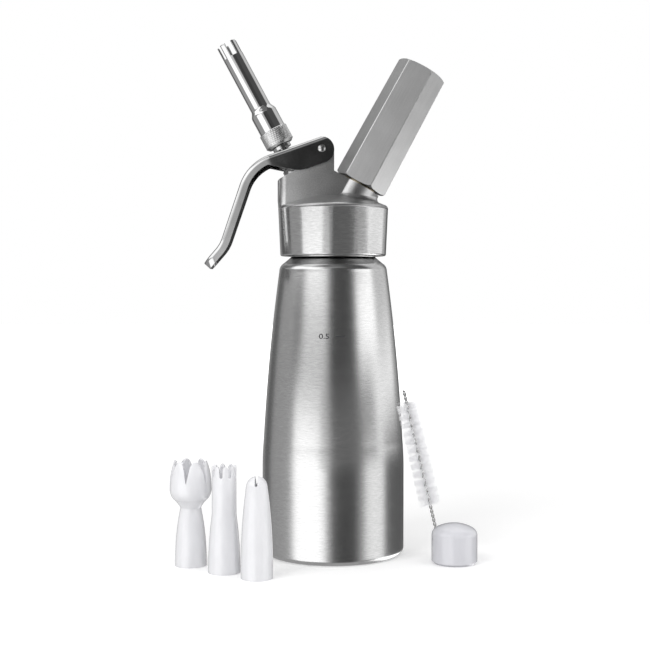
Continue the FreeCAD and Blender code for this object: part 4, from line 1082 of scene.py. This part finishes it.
spring.append(polishedSteel("spring_polish", 0.5, 0.22))
print("small pieces made")


# floor, studio and camera

floorSizes = {"half": 4.0, "near": 0.25, "far": 1.1, "glowNear": 0.25, "glowFar": 0.9}     # in metres


def seenBy(tree, *kinds):
    # 1 for rays of the named kinds, 0 for the others
    path = tree.nodes.new("ShaderNodeLightPath").outputs
    total = Wire(tree, path["Is %s Ray" % kinds[0]])
    for kind in kinds[1:]:
        total = total.maths("MAXIMUM", Wire(tree, path["Is %s Ray" % kind]))
    return total


def makeFloor():
    # white, and lit a little from within, more so far away, where the lamps don't reach
    f = Sizes(floorSizes)
    half = f.half
    mesh = bpy.data.meshes.new("floor")
    corners = [(-half, -half, 0), (half, -half, 0), (half, half, 0), (-half, half, 0)]
    mesh.from_pydata(corners, [], [(0, 1, 2, 3)])
    floor = newPiece("floor", mesh)
    floor.visible_glossy = False
    paint = Finish("floor_white", Roughness=0.9, Specular_IOR_Level=0.1)
    grain = paint.noise(paint.scaled(0.02))
    paint.set("Base Color", paint.tint(grain, grey(0.86), grey(0.88)))
    seen = seenBy(paint.tree, "Camera", "Glossy", "Transmission")
    x, y, z = paint.axes()
    away = (x * x + y * y).maths("SQRT")
    glow = paint.tint(away.between(f.near, f.far), grey(f.glowNear), grey(f.glowFar))
    paint.set("Emission Color", paint.tint(seen, grey(0), glow))
    paint.set("Emission Strength", 1.0)
    mesh.materials.append(paint.material)


studio = {
    # lights and flags round the object, as only its reflections see them: from azimuth to azimuth
    # (0 is the front, 90 the right), from height to height in degrees, and how bright
    "zenith flag": (-50, 100, 44, 92, 0.2),
    "front flag": (-5, 41, -45, 38, 0.07),
    "left key": (-68, -12, -38, 4, 1.75),
    "left wash": (-58, -10, 4, 13, 0.78),
    "grip wash": (-60, -12, 13, 22, 1.3),
    "grip light": (-104, -24, 18, 44, 1.7),
    "left slot": (-78, -62, 6, 16, 0.2),
    "left back flag": (-150, -122, -12, 30, 0.14),
    "right key": (46, 90, 6, 18, 1.8),
    "right key foot": (52, 90, -20, -2, 1.25),
    "right wash": (90, 142, 4, 50, 0.75),
    "level flag": (-20, 46, -4, 5, 0.21),
    "collar flag": (40, 68, 2, 6, 0.21),
    "level light": (76, 132, -1, 6, 1.4),
    "right foot flag": (92, 150, -18, -3, 0.12),
    "right low light": (78, 150, -46, -20, 2.4),
    "high flag": (24, 88, 20, 86, 0.1),
    "lever flag": (-8, 8, 4, 15, 0.03),
    "grip face light": (-18, -6, -4, 3, 0.95),
    "back flag": (150, 196, -14, 20, 0.1),
}
studioLevels = {"room": 0.42, "above": 1.15, "aboveFrom": (38, 60), "below": 0.45,
                "belowFrom": (-42, -22)}
studioSoft = {"side": 5, "end": 4}       # half the width of a light's soft edges, in degrees


def makeStudio():
    # a room that only reflections see
    rows, columns, reach = 48, 96, 3200.0
    tilt = np.linspace(-math.pi / 2, math.pi / 2, rows)[:, None]
    turn = np.linspace(0, 2 * math.pi, columns, endpoint=False)[None]
    dome = gridPiece("studio_room", ringed(np.cos(tilt), turn, np.sin(tilt) + 0 * turn) * reach)
    for kind in ("camera", "diffuse", "shadow", "transmission", "volume_scatter"):
        setattr(dome, "visible_" + kind, False)
    room = Finish("studio_light")
    x, y, z = room.axes()
    azimuth = x.maths("ARCTAN2", y * -1.0) * (180 / math.pi)
    height = (z / (reach * mm)).maths("ARCSINE") * (180 / math.pi)
    s = Sizes(studioLevels)
    level = s.room + (s.above - s.room) * height.between(*s.aboveFrom)
    level = level + (s.below - s.room) * (1.0 - height.between(*s.belowFrom))
    side, end = studioSoft.values()
    for left, right, low, high, bright in studio.values():
        away = (azimuth - (left + right) / 2).maths("WRAP", 180.0, -180.0).maths("ABSOLUTE", 0.0)
        half = (right - left) / 2
        inside = (1.0 - away.between(half - side, half + side)) * height.between(low - end, low + end)
        inside = inside * (1.0 - height.between(high - end, high + end))
        level = level + (bright - level) * inside
    room.tree.nodes.remove(room.shader)
    light = room.tree.nodes.new("ShaderNodeEmission")
    plug(room.tree, light.inputs["Strength"], level)
    room.tree.links.new(light.outputs[0], room.tree.nodes["Material Output"].inputs["Surface"])
    dome.data.materials.append(room.material)


worldLight = 0.72       # what surfaces get from all round; the background itself shows white
lamps = {
    # place and size in metres, power in watts
    "key": {"place": (-0.9, -1.1, 1.3), "size": 0.9, "power": 11.0},
    "fill": {"place": (1.2, -0.7, 0.9), "size": 0.8, "power": 4.0},
}
lampAim = (0, 0, 0.12)


def makeLamps():
    world = bpy.data.worlds.new("studio_world")
    bpy.context.scene.world = world
    world.use_nodes = True
    tree = world.node_tree
    background = tree.nodes["Background"]
    seen = seenBy(tree, "Camera", "Glossy", "Transmission")
    background.inputs["Color"].default_value = (1, 1, 1, 1)
    plug(tree, background.inputs["Strength"], seen * (1 - worldLight) + worldLight)
    for name, lamp in lamps.items():
        light = bpy.data.lights.new(name, "AREA")
        light.shape = "SQUARE"
        light.size = lamp["size"]
        light.energy = lamp["power"]
        piece = newPiece(name, light)
        piece.location = lamp["place"]
        aim = mathutils.Vector(lampAim) - mathutils.Vector(lamp["place"])
        piece.rotation_euler = aim.to_track_quat("-Z", "Y").to_euler()
        piece.visible_glossy = False


cameraSizes = {"place": (-0.0045, -0.666, 0.1473), "down": 1.81, "lens": 66.5, "sensor": 36}


def makeCamera():
    c = Sizes(cameraSizes)
    data = bpy.data.cameras.new("camera")
    data.lens = c.lens
    data.sensor_width = c.sensor
    camera = newPiece("camera", data)
    camera.location = c.place
    camera.rotation_euler = (math.radians(90 - c.down), 0, 0)
    bpy.context.scene.camera = camera
    bpy.context.scene.view_settings.view_transform = "Standard"


makeFloor()
makeStudio()
makeLamps()
makeCamera()
print("studio made")
